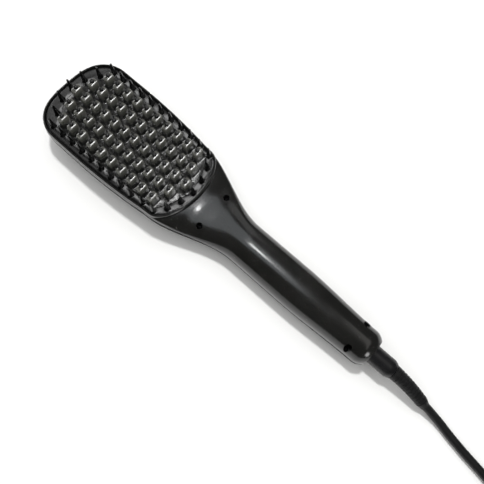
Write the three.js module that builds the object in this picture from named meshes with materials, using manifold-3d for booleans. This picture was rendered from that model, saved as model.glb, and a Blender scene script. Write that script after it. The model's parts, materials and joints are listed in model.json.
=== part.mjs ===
// Heated styling brush with a corded swivel handle, lying on its back. Millimetres, +Z up.
// x runs from the handle's end face to the tip of the head, y across the brush, z up from the surface
// that it lies on. The bristles point up. The finished group is shifted along x at the very end.
import * as THREE from 'three';
import { mergeVertices } from 'three/addons/utils/BufferGeometryUtils.js';
import Module from 'manifold-3d';

const wasm = await Module();
wasm.setup();

// Outline of the two shells, seen from above
const handleLength = 102.8;
const neckLength = 62;
const headLength = 104.4;
const handleEndHalfWidth = 12.0;
const handleHalfWidth = 14.2;
const headBaseHalfWidth = 30.2;
const headHalfWidth = 34.1;
const headTaperLength = 59;
const tipCornerLength = 23.5;
const endChamfer = 6;
const endChamferDepth = 2.6;

// Side profile of the two shells
const handleAxisZ = 14.5;
const handleEndHalfHeight = 12.9;
const handleHalfHeight = 13.5;
const neckValleyZ = 24.4;
const headFrontZ = 25.8;
const curlSpan = { from: -29, to: -13 };
const squaringSpan = { from: -28, to: 10 };
const headPartingZ = 21.5;
const backArchZ = 2.6;
const tipRiseLength = 36;
const flatCut = 0.8;
const wall = 2.2;
const seam = 0.3;
const gap = 0.3;

// Rim round the bristle field
const rimWidth = 1.8;
const rimHeight = 1.8;
const rimEndArc = 15;
const rimReach = 19.8;
const ledgeWidth = 2.0;
const ledgeThickness = 1.9;

// Bristle field
const columnPitch = 10.3;
const toothPitch = 9.15;
const toothCounts = [10, 11, 12, 11, 10];
const tipToothMargin = 14.7;
const plateTopZ = 26.6;
const plateThickness = 4.6;
const plateHalfWidth = 24.8;
const plateStartMargin = 3.3;
const plateTipMargin = 4.8;
const plateStartCurve = 9.6;
const plateTipCurve = 12;
const plateFlange = 3.0;
const plateFlangeThickness = 1.9;
const toothHeight = 9.4;
const toothBaseWidth = 7.8;
const toothBaseLength = 5.6;
const toothTopWidth = 6.2;
const toothTopLength = 3.8;
const shoulderDrop = 1.3;
const beadSide = 2.4;
const beadRise = 2.2;
const combWidth = 3.4;
const combThickness = 1.3;

// Ring of cool bristles
const ringThickness = 2.6;
const coneHeight = 10.6;
const coneBaseRadius = 1.7;
const coneTipRadius = 0.7;
const coneInset = 3.85;
const coneHalfSpacing = 27.8;
const sideCones = 11;

// Heating pack under the plate
const heaterWidth = 6.0;
const heaterLength = 70;
const clampThickness = 0.9;
const clampHalfWidth = 22.8;
const clampLength = 84;
const padMargin = 2;
const padThickness = 2.2;
const clampScrewSpacing = 52;
const clampScrewHead = 2.4;
const clampScrewHeadHeight = 1.5;
const clampScrewShank = 0.9;
const clampScrewLength = 5;
const sensorThickness = 2.6;
const sensorWidth = 2.4;
const sensorLength = 3.1;
const fuseRadius = 1.7;
const fuseLength = 9;
const sensingWindowLength = 16;
const sensingWindowWidth = 4.6;
const postSpacing = 30;
const postLength = 2.4;
const postWidth = 2;

// Control board, display and buttons in the handle
const boardStartX = 26;
const boardPastHandle = 8;
const boardHalfWidth = 9.4;
const boardThickness = 1.6;
const boardBackZ = 9.6;
const pillarInset = 4;
const pillarWidth = 3;
const pillarSpread = 12;
const buttonRadius = 4.6;
const buttonProud = 0.7;
const buttonFlange = 1.0;
const buttonTravel = 0.5;
const switchSide = 6;
const switchHeight = 2.0;
const plungerRadius = 1.7;
const lensLength = 22;
const lensWidth = 12;
const lensThickness = 0.9;
const lensLip = 0.8;
const lensInset = 6;
const plusInset = 30;
const minusInset = 44;
const powerInset = 60;
const displayLength = 18;
const displayWidth = 12;

// Board components: from the board's start, across the board, and size along, across and up
const capacitor = { from: 12, y: -3.25, length: 13, width: 7.5, height: 9 };
const relay = { from: 30, y: 0, length: 16, width: 10, height: 8.5 };
const triacBody = { from: 54, y: 0, length: 10, width: 4.6, height: 9 };
const triacTab = { inset: 0.5, thickness: 1.2, height: 3 };
const terminals = { from: 2, y: 0, length: 6, width: 12, height: 6 };
const wireRadius = 0.6;
const heaterLeadSpread = 4;
const sensorLeadSpread = 7.4;

// Cord swivel
const barrelRadius = 6.2;
const barrelLength = 16.9;
const barrelConeLength = 3.0;
const barrelMouthRadius = 5.0;
const spindleRadius = 3.2;
const spindleLength = 13.0;
const slipRingRadius = 4.4;
const slipRingWidth = 2.0;
const slipRingSpacing = 3.6;
const runningGap = 0.4;
const barrelFlange = 1.2;
const barrelFlangeLength = 2.0;
const ribLength = 1.4;
const contactBlockLength = 6.4;
const contactBlockWidth = 7.2;
const contactBlockHeight = 1.8;
const contactRise = 4;

// Strain relief and cord
const reliefLength = 25.3;
const reliefRadius = 4.8;
const reliefEndRadius = 3.9;
const reliefDrop = 6.3;
const reliefDrift = 1.5;
const reliefMouth = 0.5;
const reliefSides = 12;
const cordDiameter = 5.4;
const cordSides = 8;

// Coil of the spare cord, its tie and the plug
const coilCentre = { x: -142.7, y: -20 };
const coilTurns = 8.5;
const coilInnerRadius = 18.3;
const coilPitch = 5.95;
const coilSides = 6;
const coilStepsPerTurn = 24;
const tieWidth = 8;
const tieThickness = 0.8;
const plugLength = 36;
const plugWidth = 35;
const plugThickness = 13.6;
const plugPinRadius = 2.0;
const plugPinLength = 19;
const plugPinSpacing = 18.6;
const plugPinDepth = 6;

// Shell screws: distance along the brush and from its middle line
const shellScrews = {
  shell_screw_neck_left: [handleLength + 28.2, 12.8],
  shell_screw_neck_right: [handleLength + 28.2, -12.8],
  shell_screw_end_left: [13.3, 9.4],
  shell_screw_end_right: [13.3, -9.4],
};
const screwHeadRadius = 1.9;
const screwHeadHeight = 1.6;
const screwShankRadius = 0.9;
const screwShankLength = 8;
const screwShoulder = 2.2;
const bossWall = 1.5;

// Places that follow from the sizes above
const neckEndX = handleLength + neckLength;
const bodyLength = neckEndX + headLength;
const rimTopZ = headFrontZ + rimHeight;
const openingStartX = neckEndX - rimReach;
const firstToothX = bodyLength - tipToothMargin;
const boardEndX = handleLength + boardPastHandle;
const boardLength = boardEndX - boardStartX;
const lensX = handleLength - lensInset;
const buttonPlaces = {
  power_button: handleLength - powerInset,
  minus_button: handleLength - minusInset,
  plus_button: handleLength - plusInset,
};
const plateBottomZ = plateTopZ - plateThickness;
const heaterTopZ = plateBottomZ - 0.2 - gap;
const clampTopZ = heaterTopZ - combThickness - gap;
const padTopZ = clampTopZ - clampThickness - gap;
const fieldMiddleX = firstToothX - (toothPitch * (toothCounts[2] - 1)) / 2;
const clampStartX = fieldMiddleX - clampLength / 2;
const ringBottomZ = plateTopZ - ringThickness;
const cordRadius = cordDiameter / 2;
const cordFloorZ = cordRadius + 0.1;
const columnCount = toothCounts.length;

// Materials
const finish = (color, roughness, metalness) =>
  new THREE.MeshStandardMaterial({ color, roughness, metalness });
const blackGloss = finish(0x1b1c1e, 0.22, 0);
const ceramicGrey = finish(0x4a4c4e, 0.3, 0.6);
const blackNylon = finish(0x141414, 0.45, 0);
const blackRubber = finish(0x181818, 0.7, 0);
const steel = finish(0xb4b6b8, 0.35, 1);
const brass = finish(0xc8a350, 0.35, 1);
const copperWire = finish(0x8a3324, 0.6, 0);
const heaterWhite = finish(0xe6e2d8, 0.7, 0);
const micaBeige = finish(0xb9a77c, 0.8, 0);
const boardGreen = finish(0x1f5a34, 0.5, 0);
const componentBlue = finish(0x27456e, 0.5, 0);
const smokedClear = finish(0x20262c, 0.08, 0);

const brush = new THREE.Group();
brush.name = 'styling_brush';

function add(name, shape, material) {
  const geometry = shape.isBufferGeometry ? shape : geometryOf(shape);
  const mesh = new THREE.Mesh(geometry, material);
  mesh.name = name;
  brush.add(mesh);
  return mesh;
}

// Solids: three.js geometry in, closed solid out, and back again
function solidOf(geometry) {
  const bare = new THREE.BufferGeometry();
  bare.setAttribute('position', geometry.attributes.position);
  bare.setIndex(geometry.index);
  const merged = mergeVertices(bare, 1e-4);
  return new wasm.Manifold(new wasm.Mesh({
    numProp: 3,
    vertProperties: new Float32Array(merged.attributes.position.array),
    triVerts: new Uint32Array(merged.index.array),
  }));
}

function geometryOf(solid) {
  const mesh = solid.getMesh();
  const geometry = new THREE.BufferGeometry();
  geometry.setAttribute('position', new THREE.BufferAttribute(new Float32Array(mesh.vertProperties), 3));
  geometry.setIndex(new THREE.BufferAttribute(new Uint32Array(mesh.triVerts), 1));
  geometry.computeVertexNormals();
  return geometry;
}

function box(x0, x1, y0, y1, z0, z1) {
  const geometry = new THREE.BoxGeometry(x1 - x0, y1 - y0, z1 - z0);
  geometry.translate((x0 + x1) / 2, (y0 + y1) / 2, (z0 + z1) / 2);
  return solidOf(geometry);
}

function rodZ(x, y, radius, z0, z1, sides = 16) {
  const geometry = new THREE.CylinderGeometry(radius, radius, z1 - z0, sides);
  geometry.rotateX(Math.PI / 2);
  geometry.translate(x, y, (z0 + z1) / 2);
  return solidOf(geometry);
}

function rodX(radius, x0, x1, y, z, sides = 24) {
  const geometry = new THREE.CylinderGeometry(radius, radius, x1 - x0, sides);
  geometry.rotateZ(Math.PI / 2);
  geometry.translate((x0 + x1) / 2, y, z);
  return solidOf(geometry);
}

// A solid turned about the swivel's axis, from [x, radius] pairs that go once round its outline
function turnedAboutX(outline, sides, y = 0, z = handleAxisZ) {
  const profile = outline.map(([x, radius]) => new THREE.Vector2(radius, x));
  const geometry = new THREE.LatheGeometry(profile, sides);
  geometry.rotateZ(-Math.PI / 2);
  geometry.translate(0, y, z);
  return solidFacingOut(geometry);
}

// A solid whose faces point out, whichever way the geometry was wound
function solidFacingOut(geometry) {
  const bare = new THREE.BufferGeometry();
  bare.setAttribute('position', geometry.attributes.position);
  bare.setIndex(geometry.index);
  const merged = mergeVertices(bare, 1e-4);
  const solid = solidOf(merged);
  if (solid.volume() > 0) return solid;
  const index = merged.index.array.slice();
  for (let i = 0; i < index.length; i += 3) [index[i + 1], index[i + 2]] = [index[i + 2], index[i + 1]];
  merged.setIndex(new THREE.BufferAttribute(index, 1));
  return solidOf(merged);
}

// A solid through rings of equal point counts, capped flat at both ends
function loft(rings) {
  const count = rings[0].length;
  const positions = rings.flat().flatMap((p) => [p.x, p.y, p.z]);
  const faces = [];
  for (let r = 0; r + 1 < rings.length; r++) {
    for (let i = 0; i < count; i++) {
      const a = r * count + i;
      const b = r * count + ((i + 1) % count);
      faces.push(a, b, b + count, a, b + count, a + count);
    }
  }
  const last = (rings.length - 1) * count;
  for (let i = 1; i + 1 < count; i++) {
    faces.push(0, i + 1, i);
    faces.push(last, last + i, last + i + 1);
  }
  const geometry = new THREE.BufferGeometry();
  geometry.setAttribute('position', new THREE.BufferAttribute(new Float32Array(positions), 3));
  geometry.setIndex(faces);
  return solidFacingOut(geometry);
}

// A path that takes one step per point, so that an extrusion along it has a ring at each of them
class PointPath extends THREE.CatmullRomCurve3 {
  getUtoTmapping(u) {
    return u;
  }
}

// A round tube through a list of points
function tube(points, radius, sides) {
  const corners = Array.from({ length: sides }, (_, i) => {
    const angle = (2 * Math.PI * (i + 0.5)) / sides;
    return new THREE.Vector2(radius * Math.cos(angle), radius * Math.sin(angle));
  });
  const geometry = new THREE.ExtrudeGeometry(new THREE.Shape(corners), {
    steps: points.length - 1,
    bevelEnabled: false,
    extrudePath: new PointPath(points, false, 'centripetal'),
  });
  return solidFacingOut(geometry);
}

const smooth = (t) => {
  const s = THREE.MathUtils.clamp(t, 0, 1);
  return s * s * (3 - 2 * s);
};
const blend = (x, x0, x1, a, b) => a + (b - a) * smooth((x - x0) / (x1 - x0));

// The shells' outline: half width, parting line, front and back height at a distance x
function tipShare(x, inset) {
  const start = bodyLength - tipCornerLength;
  return THREE.MathUtils.clamp((x - start) / (tipCornerLength + 0.15 - inset), 0, 1);
}

function endShrink(x) {
  const t = THREE.MathUtils.clamp(1 - x / endChamfer, 0, 1);
  return endChamferDepth * t * t;
}

function halfWidth(x, inset = 0) {
  const handle = blend(x, endChamfer, 0.6 * handleLength, handleEndHalfWidth, handleHalfWidth);
  const flare = blend(x, handleLength, neckEndX, 0, headBaseHalfWidth - handleHalfWidth);
  const along = THREE.MathUtils.clamp((x - neckEndX) / headTaperLength, 0, 1);
  const head = (headHalfWidth - headBaseHalfWidth) * (1 - (1 - along) ** 2);
  const corner = Math.cbrt(1 - tipShare(x, inset) ** 2);
  return (handle + flare + head - endShrink(x) - inset) * corner;
}

const partingZ = (x) => blend(x, handleLength, neckEndX, handleAxisZ, headPartingZ);

// The front is level along the handle, dips at the neck and curls up again to the bristle field. The
// spans are counted from the neck's end.
function frontZ(x, inset = 0) {
  const halfHeight = blend(x, endChamfer, 0.6 * handleLength, handleEndHalfHeight, handleHalfHeight);
  const drop = handleAxisZ + handleHalfHeight - neckValleyZ;
  const valley = blend(x, 0.97 * handleLength, handleLength + 0.4 * neckLength, 0, drop);
  const curl = blend(x, neckEndX + curlSpan.from, neckEndX + curlSpan.to, 0, headFrontZ - neckValleyZ);
  return handleAxisZ + halfHeight - endShrink(x) - valley + curl - inset;
}

function backZ(x, inset = 0) {
  const handleBack = blend(x, 0.2 * handleLength, 0.55 * handleLength, -0.2, backArchZ);
  const flat = handleBack - blend(x, 1.05 * handleLength, neckEndX, 0, backArchZ + flatCut);
  const rise = THREE.MathUtils.clamp((x - bodyLength + tipRiseLength) / (tipRiseLength - inset), 0, 1);
  const low = flat + endShrink(x) + inset;
  return low + (partingZ(x) - seam - low) * (1 - Math.sqrt(1 - rise * rise * 0.98));
}

const frontPower = (x) => blend(x, neckEndX + squaringSpan.from, neckEndX + squaringSpan.to, 2.3, 9);
const backPower = (x) => blend(x, handleLength, neckEndX, 2.3, 2.7);

// Distances at which the shells' cross sections are drawn, closer together where the outline curves
function stations(start, inset, step = 1) {
  const tip = bodyLength - inset;
  const corner = bodyLength - tipCornerLength;
  const places = [start, start + 0.4 * endChamfer, start + endChamfer];
  const even = (from, to, count) => {
    for (let i = 1; i <= count; i++) places.push(from + (i / count) * (to - from));
  };
  even(start + endChamfer, handleLength, 4 / step);
  even(handleLength, neckEndX, 8 / step);
  even(neckEndX, corner, 4 / step);
  const rounds = 8 / step;
  for (let i = 1; i <= rounds; i++) places.push(corner + Math.sin((i / rounds) * (Math.PI / 2)) * (tip - corner));
  return places;
}

const halfSides = 8;

// One half of a cross section, from the +y side over the top, or under the bottom, to the -y side
function halfRing(x, side, inset, lift) {
  const base = partingZ(x) + side * lift;
  const reach = side > 0 ? frontZ(x, inset) - base : base - backZ(x, inset);
  const power = 2 / (side > 0 ? frontPower(x) : backPower(x));
  const ring = [];
  for (let i = 0; i <= halfSides; i++) {
    const angle = (Math.PI * i) / halfSides;
    const across = Math.sign(Math.cos(angle)) * Math.abs(Math.cos(angle)) ** power;
    const up = Math.abs(Math.sin(angle)) ** power;
    ring.push(new THREE.Vector3(x, halfWidth(x, inset) * across, base + side * reach * up));
  }
  return ring;
}

function halfBody(side) {
  return loft(stations(0, 0).map((x) => halfRing(x, side, 0, seam / 2)));
}

function cavity() {
  return loft(stations(endWall, wall, 2).map((x) => {
    const over = halfRing(x, 1, wall, 0);
    const under = halfRing(x, -1, wall, 0);
    return [...over, ...under.reverse().slice(1, -1)];
  }));
}

// The outline of the bristle field's opening, moved in or out by an offset
function fieldHalfWidth(x, offset) {
  const arcEnd = openingStartX + rimEndArc;
  const start = openingStartX - offset;
  const side = halfWidth(Math.max(x, arcEnd), rimWidth) + offset;
  const tipX = bodyLength - rimWidth + offset;
  const cornerX = bodyLength - tipCornerLength;
  if (x < arcEnd) return side * Math.sqrt(Math.max(0, 1 - ((arcEnd - x) / (arcEnd - start)) ** 2));
  if (x < cornerX) return side;
  const straight = halfWidth(cornerX, rimWidth) + offset;
  return straight * Math.cbrt(Math.max(0, 1 - ((x - cornerX) / (tipX - cornerX)) ** 2));
}

function fieldOutline(offset) {
  const arcEnd = openingStartX + rimEndArc;
  const start = openingStartX - offset;
  const tipX = bodyLength - rimWidth + offset;
  const cornerX = bodyLength - tipCornerLength;
  const places = [];
  for (let i = 1; i <= 5; i++) places.push(arcEnd - Math.cos((i / 5) * (Math.PI / 2)) * (arcEnd - start));
  for (let i = 1; i <= 4; i++) places.push(arcEnd + (i / 4) * (cornerX - arcEnd));
  for (let i = 1; i <= 6; i++) places.push(cornerX + Math.sin((i / 6.6) * (Math.PI / 2)) * (tipX - cornerX));
  const right = places.map((x) => [x, fieldHalfWidth(x, offset)]);
  const left = right.map(([x, y]) => [x, -y]).reverse();
  return [[start, 0], ...right, [tipX, 0], ...left];
}

// A solid whose outline is the bristle field's, from [offset, z] pairs going up
function fieldSolid(levels) {
  return loft(levels.map(([offset, z]) => fieldOutline(offset).map(([x, y]) => new THREE.Vector3(x, y, z))));
}

// The heated plate's outline: straight sides, with a shallow curve at each end
function plateOutline(offset) {
  const half = plateHalfWidth + offset;
  const startX = firstToothX - toothPitch * (toothCounts[2] - 1) - plateStartMargin - offset;
  const tipX = firstToothX + plateTipMargin + offset;
  const shares = [0, 0.35, 0.62, 0.84, 1];
  const start = shares.map((s) => [startX + plateStartCurve * s * s, half * s]);
  const tip = shares.map((s) => [tipX - plateTipCurve * Math.max(0, (s - 0.24) / 0.76) ** 1.5, half * s]);
  const right = [...start, ...tip.reverse()];
  const left = right.slice(1, -1).map(([x, y]) => [x, -y]).reverse();
  return [...right, ...left];
}

function plateSolid(offset, z0, z1) {
  return loft([z0, z1].map((z) => plateOutline(offset).map(([x, y]) => new THREE.Vector3(x, y, z))));
}

// Bosses for the shell screws, inside the shells only
const shoulderZ = (x) => partingZ(x) + screwShoulder;

function shellBosses(side) {
  const bosses = Object.values(shellScrews).map(([x, y]) => {
    const seamZ = partingZ(x) + side * (seam / 2);
    const far = side > 0 ? frontZ(x) : backZ(x);
    return rodZ(x, y, screwHeadRadius + bossWall, Math.min(seamZ, far), Math.max(seamZ, far));
  });
  return wasm.Manifold.union(bosses);
}

function screwHoles() {
  const holes = Object.values(shellScrews).flatMap(([x, y]) => [
    rodZ(x, y, screwHeadRadius + 0.3, shoulderZ(x), frontZ(x) + 3),
    rodZ(x, y, screwShankRadius + gap, shoulderZ(x) - screwShankLength - gap, shoulderZ(x) + 1, 10),
  ]);
  return wasm.Manifold.union(holes);
}

// What the cord swivel needs: a hole in the end wall, and a rib behind its flange
const endWall = wall + 0.4;
const flangeStartX = endWall + gap;
const ribStartX = flangeStartX + barrelFlangeLength + gap;
const ribEndX = ribStartX + ribLength;
const slipRingPlaces = [ribEndX + 2 * gap, ribEndX + 2 * gap + slipRingSpacing];

function swivelRib() {
  return box(ribStartX, ribEndX, -handleHalfWidth, handleHalfWidth, 0, handleAxisZ * 2.4);
}

function swivelBore() {
  return wasm.Manifold.union([
    rodX(barrelRadius + runningGap, -1, endWall + 0.1, 0, handleAxisZ),
    rodX(spindleRadius + runningGap, endWall, ribEndX + 1, 0, handleAxisZ),
  ]);
}

function frontShell() {
  const outer = halfBody(1);
  const rim = fieldSolid([
    [-0.4, headPartingZ + seam / 2],
    [rimWidth - 0.3, headFrontZ - 1.6],
    [rimWidth - 0.35, headFrontZ - 0.2],
    [rimWidth - 0.75, rimTopZ - 0.6],
    [rimWidth - 1.15, rimTopZ],
  ]);
  const hollow = cavity();
  const ledge = fieldSolid([
    [0.4, headPartingZ + seam / 2],
    [0.4, headPartingZ + seam / 2 + ledgeThickness],
  ]);
  const inside = wasm.Manifold.union([shellBosses(1), swivelRib()]).intersect(outer);
  const opening = fieldSolid([[0, headPartingZ + seam / 2 + ledgeThickness], [0, rimTopZ + 1]]);
  const innerOpening = fieldSolid([[-ledgeWidth, headPartingZ - 1], [-ledgeWidth, rimTopZ]]);
  const wedge = box(0, bodyLength, -headHalfWidth, headHalfWidth, 0, handleAxisZ + seam / 2);
  return outer.subtract(hollow)
    .add(inside)
    .add(ledge.intersect(outer))
    .add(rim)
    .subtract(opening)
    .subtract(innerOpening)
    .subtract(screwHoles())
    .subtract(swivelBore())
    .subtract(wedge);
}

// Posts that press the plate's flange up against the ring
const postPlaces = [-1, 0, 1].map((k) => fieldMiddleX + k * postSpacing);

function platePosts() {
  return wasm.Manifold.union(postPlaces.flatMap((x) => [1, -1].map((side) => {
    const edge = Math.min(plateHalfWidth + plateFlange, fieldHalfWidth(x, -ledgeWidth - 2 * gap));
    const y = side * (edge - gap - postWidth / 2);
    return box(x - postLength / 2, x + postLength / 2, y - postWidth / 2, y + postWidth / 2,
      0, heaterTopZ);
  })));
}

function buttonOpenings() {
  return wasm.Manifold.union(Object.values(buttonPlaces).flatMap((x) => [
    rodZ(x, 0, buttonRadius + gap, -1, backArchZ + wall + 1, 16),
    rodZ(x, 0, buttonRadius + buttonFlange + gap, backArchZ + wall, handleAxisZ - 4, 16),
  ]));
}

function lensOpening() {
  const half = lensLength / 2 + gap;
  const side = lensWidth / 2 + gap;
  return wasm.Manifold.union([
    box(lensX - half, lensX + half, -side, side, -1, backArchZ + wall + 1),
    box(lensX - half - lensLip, lensX + half + lensLip, -side - lensLip, side + lensLip,
      backArchZ + wall, handleAxisZ - 4),
  ]);
}

// Short pillars that the control board stands on
const boardPillars = [boardStartX + pillarInset, boardEndX - pillarInset];

function boardSupports() {
  const half = pillarWidth / 2;
  return wasm.Manifold.union(boardPillars.flatMap((x) => [1, -1].map((side) => {
    const y = (side * pillarSpread) / 2;
    return box(x - half, x + half, y - half, y + half, 0, boardBackZ - gap);
  })));
}

// The contact block sits on a seat below the slip rings
const contactBlockX = slipRingPlaces[0] - gap;
const contactSeatZ = handleAxisZ - slipRingRadius - contactRise;

function contactSeat() {
  const half = contactBlockWidth / 2;
  return box(contactBlockX, contactBlockX + contactBlockLength, -half, half, 0, contactSeatZ);
}

function rearShell() {
  const outer = halfBody(-1);
  const posts = wasm.Manifold.union([
    shellBosses(-1), platePosts(), boardSupports(), contactSeat(), swivelRib(),
  ]).intersect(outer);
  const floorCut = box(-1, bodyLength + 1, -headHalfWidth, headHalfWidth, -5, 0);
  return outer.subtract(cavity())
    .add(posts)
    .subtract(screwHoles())
    .subtract(swivelBore())
    .subtract(buttonOpenings())
    .subtract(lensOpening())
    .subtract(floorCut);
}

// Tooth places: columns run along the brush, and each column starts half a pitch after its neighbour
function columnTeeth(column) {
  const fromMiddle = Math.abs(column - (columnCount - 1) / 2);
  const y = ((columnCount - 1) / 2 - column) * columnPitch;
  return Array.from({ length: toothCounts[column] }, (_, k) => ({
    x: firstToothX - toothPitch * (k + fromMiddle / 2),
    y,
  }));
}

const allTeeth = Array.from({ length: columnCount }, (_, column) => columnTeeth(column)).flat();

function eightPoint(x, y, length, width, z) {
  const cut = 0.3;
  const a = length / 2;
  const b = width / 2;
  const corners = [
    [a, -b * (1 - cut)], [a, b * (1 - cut)], [a * (1 - cut), b], [-a * (1 - cut), b],
    [-a, b * (1 - cut)], [-a, -b * (1 - cut)], [-a * (1 - cut), -b], [a * (1 - cut), -b],
  ];
  return corners.map(([dx, dy]) => new THREE.Vector3(x + dx, y + dy, z));
}

function tooth({ x, y }) {
  const top = plateTopZ + toothHeight;
  return loft([
    eightPoint(x, y, toothBaseLength, toothBaseWidth, plateTopZ - 0.5),
    eightPoint(x, y, toothTopLength + 0.5, toothTopWidth + 0.5, top - shoulderDrop),
    eightPoint(x, y, toothTopLength - 0.8, toothTopWidth - 1.4, top),
  ]);
}

const pinHalf = beadSide / 2;

function heatingPlate() {
  const bottom = plateBottomZ - 0.2;
  const top = plateSolid(0, bottom, plateTopZ);
  const reach = -ledgeWidth - 2 * gap;
  const flange = plateSolid(plateFlange, bottom, bottom + plateFlangeThickness)
    .intersect(fieldSolid([[reach, bottom - 1], [reach, plateTopZ]]));
  const bores = allTeeth.map(({ x, y }) => {
    const half = pinHalf + gap;
    return box(x - half, x + half, y - half, y + half, plateBottomZ - 1, plateTopZ + toothHeight + 1);
  });
  const screwBores = clampScrewPlaces().map(([x, y]) =>
    rodZ(x, y, clampScrewShank + gap, plateBottomZ - 1, plateTopZ - 1, 8));
  return top.add(flange)
    .add(wasm.Manifold.union(allTeeth.map(tooth)))
    .subtract(wasm.Manifold.union([...bores, ...screwBores]));
}

// A comb lies under each column, and its pins end as beads above the teeth
function tipComb(column) {
  const teeth = columnTeeth(column);
  const barTop = heaterTopZ;
  const y = teeth[0].y;
  const hexagon = (x, width, z) => Array.from({ length: 6 }, (_, i) => new THREE.Vector3(
    x + (width / 2) * Math.cos((i * Math.PI) / 3), y + (width / 2) * Math.sin((i * Math.PI) / 3), z));
  const bar = box(teeth.at(-1).x - 3, teeth[0].x + 3, y - combWidth / 2, y + combWidth / 2,
    barTop - combThickness, barTop);
  const top = plateTopZ + toothHeight;
  const pins = teeth.map(({ x }) => loft([
    hexagon(x, beadSide, barTop - 0.4),
    hexagon(x, beadSide, top + beadRise * 0.5),
    hexagon(x, beadSide * 0.55, top + beadRise),
  ]));
  return bar.add(wasm.Manifold.union(pins));
}

// Places of the cool bristles: two rows along the sides, and an arc at each end
function conePlaces() {
  const places = [];
  for (let k = 0; k < sideCones; k++) {
    const x = firstToothX - toothPitch * (k + 0.5);
    const y = Math.min(coneHalfSpacing, halfWidth(x) - coneInset);
    places.push([x, y], [x, -y]);
  }
  const tipX = bodyLength - 2 * coneInset + 1.0;
  const startX = openingStartX + 2.9;
  places.push([tipX, 0], [startX, 0]);
  for (const side of [1, -1]) {
    places.push([tipX - 1.7, side * 10.2], [tipX - 7.3, side * 19.5]);
    places.push([startX + 1.7, side * 9.6], [startX + 5.1, side * 18.6]);
  }
  return places;
}

function coolBristleRing() {
  const outer = fieldSolid([[-gap, ringBottomZ], [-gap, plateTopZ]]);
  const inner = plateSolid(gap, ringBottomZ - 1, plateTopZ + 1);
  const cones = conePlaces().map(([x, y]) => {
    const geometry = new THREE.CylinderGeometry(coneTipRadius, coneBaseRadius, coneHeight + 0.4, 6);
    geometry.rotateX(Math.PI / 2);
    geometry.translate(x, y, plateTopZ + coneHeight / 2 - 0.2);
    return solidOf(geometry);
  });
  return outer.subtract(inner).add(wasm.Manifold.union(cones));
}

// Heating pack: strips between the combs, a clamp plate with its screws, and an insulating pad
function clampScrewPlaces() {
  return [1, -1].flatMap((end) => [1, -1].map((side) =>
    [fieldMiddleX + end * (clampScrewSpacing / 2), side * 1.5 * columnPitch]));
}

const sensorPlace = { x: fieldMiddleX, y: 1.5 * columnPitch };
const fusePlace = { x: fieldMiddleX, y: -1.5 * columnPitch };

function sensingWindows() {
  return wasm.Manifold.union([sensorPlace, fusePlace].map(({ x, y }) =>
    box(x - sensingWindowLength / 2, x + sensingWindowLength / 2,
      y - sensingWindowWidth / 2, y + sensingWindowWidth / 2, 0, heaterTopZ)));
}

function clampPlate() {
  const half = clampLength / 2;
  const bores = clampScrewPlaces().map(([x, y]) => rodZ(x, y, clampScrewShank + gap, 0, heaterTopZ, 8));
  return box(fieldMiddleX - half, fieldMiddleX + half, -clampHalfWidth, clampHalfWidth,
    clampTopZ - clampThickness, clampTopZ)
    .subtract(wasm.Manifold.union(bores))
    .subtract(sensingWindows());
}

function insulationPad() {
  const half = clampLength / 2 - padMargin;
  const side = clampHalfWidth - padMargin;
  const bores = clampScrewPlaces().map(([x, y]) => rodZ(x, y, clampScrewHead + 2 * gap, 0, heaterTopZ, 10));
  return box(fieldMiddleX - half, fieldMiddleX + half, -side, side,
    padTopZ - padThickness, padTopZ)
    .subtract(wasm.Manifold.union(bores))
    .subtract(sensingWindows());
}

// A screw with a slotted head, pointing down from its head's underside
function machineScrew(headRadius, headHeight, shankRadius, shankLength) {
  const head = new THREE.CylinderGeometry(headRadius, headRadius, headHeight, 10);
  head.rotateX(Math.PI / 2);
  head.translate(0, 0, headHeight / 2);
  const shank = new THREE.CylinderGeometry(shankRadius, shankRadius, shankLength + 0.2, 6);
  shank.rotateX(Math.PI / 2);
  shank.translate(0, 0, -shankLength / 2 + 0.1);
  const slot = new THREE.BoxGeometry(headRadius * 1.4, 0.5, 0.8);
  slot.translate(0, 0, headHeight);
  return geometryOf(solidOf(head).add(solidOf(shank)).subtract(solidOf(slot)));
}

// Buttons with a flange that keeps them in the shell, and the switches that they press
function button() {
  const capTop = backArchZ + wall + gap;
  const capBottom = backArchZ - buttonProud;
  const profile = [
    [0, capBottom], [buttonRadius * 0.8, capBottom], [buttonRadius, capBottom + 0.8],
    [buttonRadius, capTop], [buttonRadius + buttonFlange * 0.8, capTop],
    [buttonRadius + buttonFlange * 0.8, capTop + 0.8], [0, capTop + 0.8],
  ].map(([radius, z]) => new THREE.Vector2(radius, z));
  const geometry = new THREE.LatheGeometry(profile, 16);
  geometry.rotateX(Math.PI / 2);
  return solidFacingOut(geometry);
}

const buttonInnerZ = backArchZ + wall + gap + 0.8;

function tactSwitch() {
  const half = switchSide / 2;
  const top = boardBackZ - gap;
  const body = box(-half, half, -half, half, top - switchHeight, top);
  const plunger = rodZ(0, 0, plungerRadius, buttonInnerZ + buttonTravel + gap, top - switchHeight / 2, 12);
  return geometryOf(body.add(plunger));
}

function displayLens() {
  const face = backArchZ + 0.4;
  const inner = backArchZ + wall + gap;
  const half = lensLength / 2;
  const side = lensWidth / 2;
  return box(lensX - half, lensX + half, -side, side, face, inner + lensThickness / 2)
    .add(box(lensX - half - lensLip, lensX + half + lensLip, -side - lensLip, side + lensLip,
      inner, inner + lensThickness));
}

function displayModule() {
  const inner = backArchZ + wall + gap + lensThickness + gap;
  const half = displayLength / 2;
  return box(lensX - half, lensX + half, -displayWidth / 2, displayWidth / 2, inner, boardBackZ - gap);
}

function mainBoard() {
  return box(boardStartX, boardStartX + boardLength, -boardHalfWidth, boardHalfWidth,
    boardBackZ, boardBackZ + boardThickness);
}

const boardFrontZ = boardBackZ + boardThickness + gap;

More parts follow.
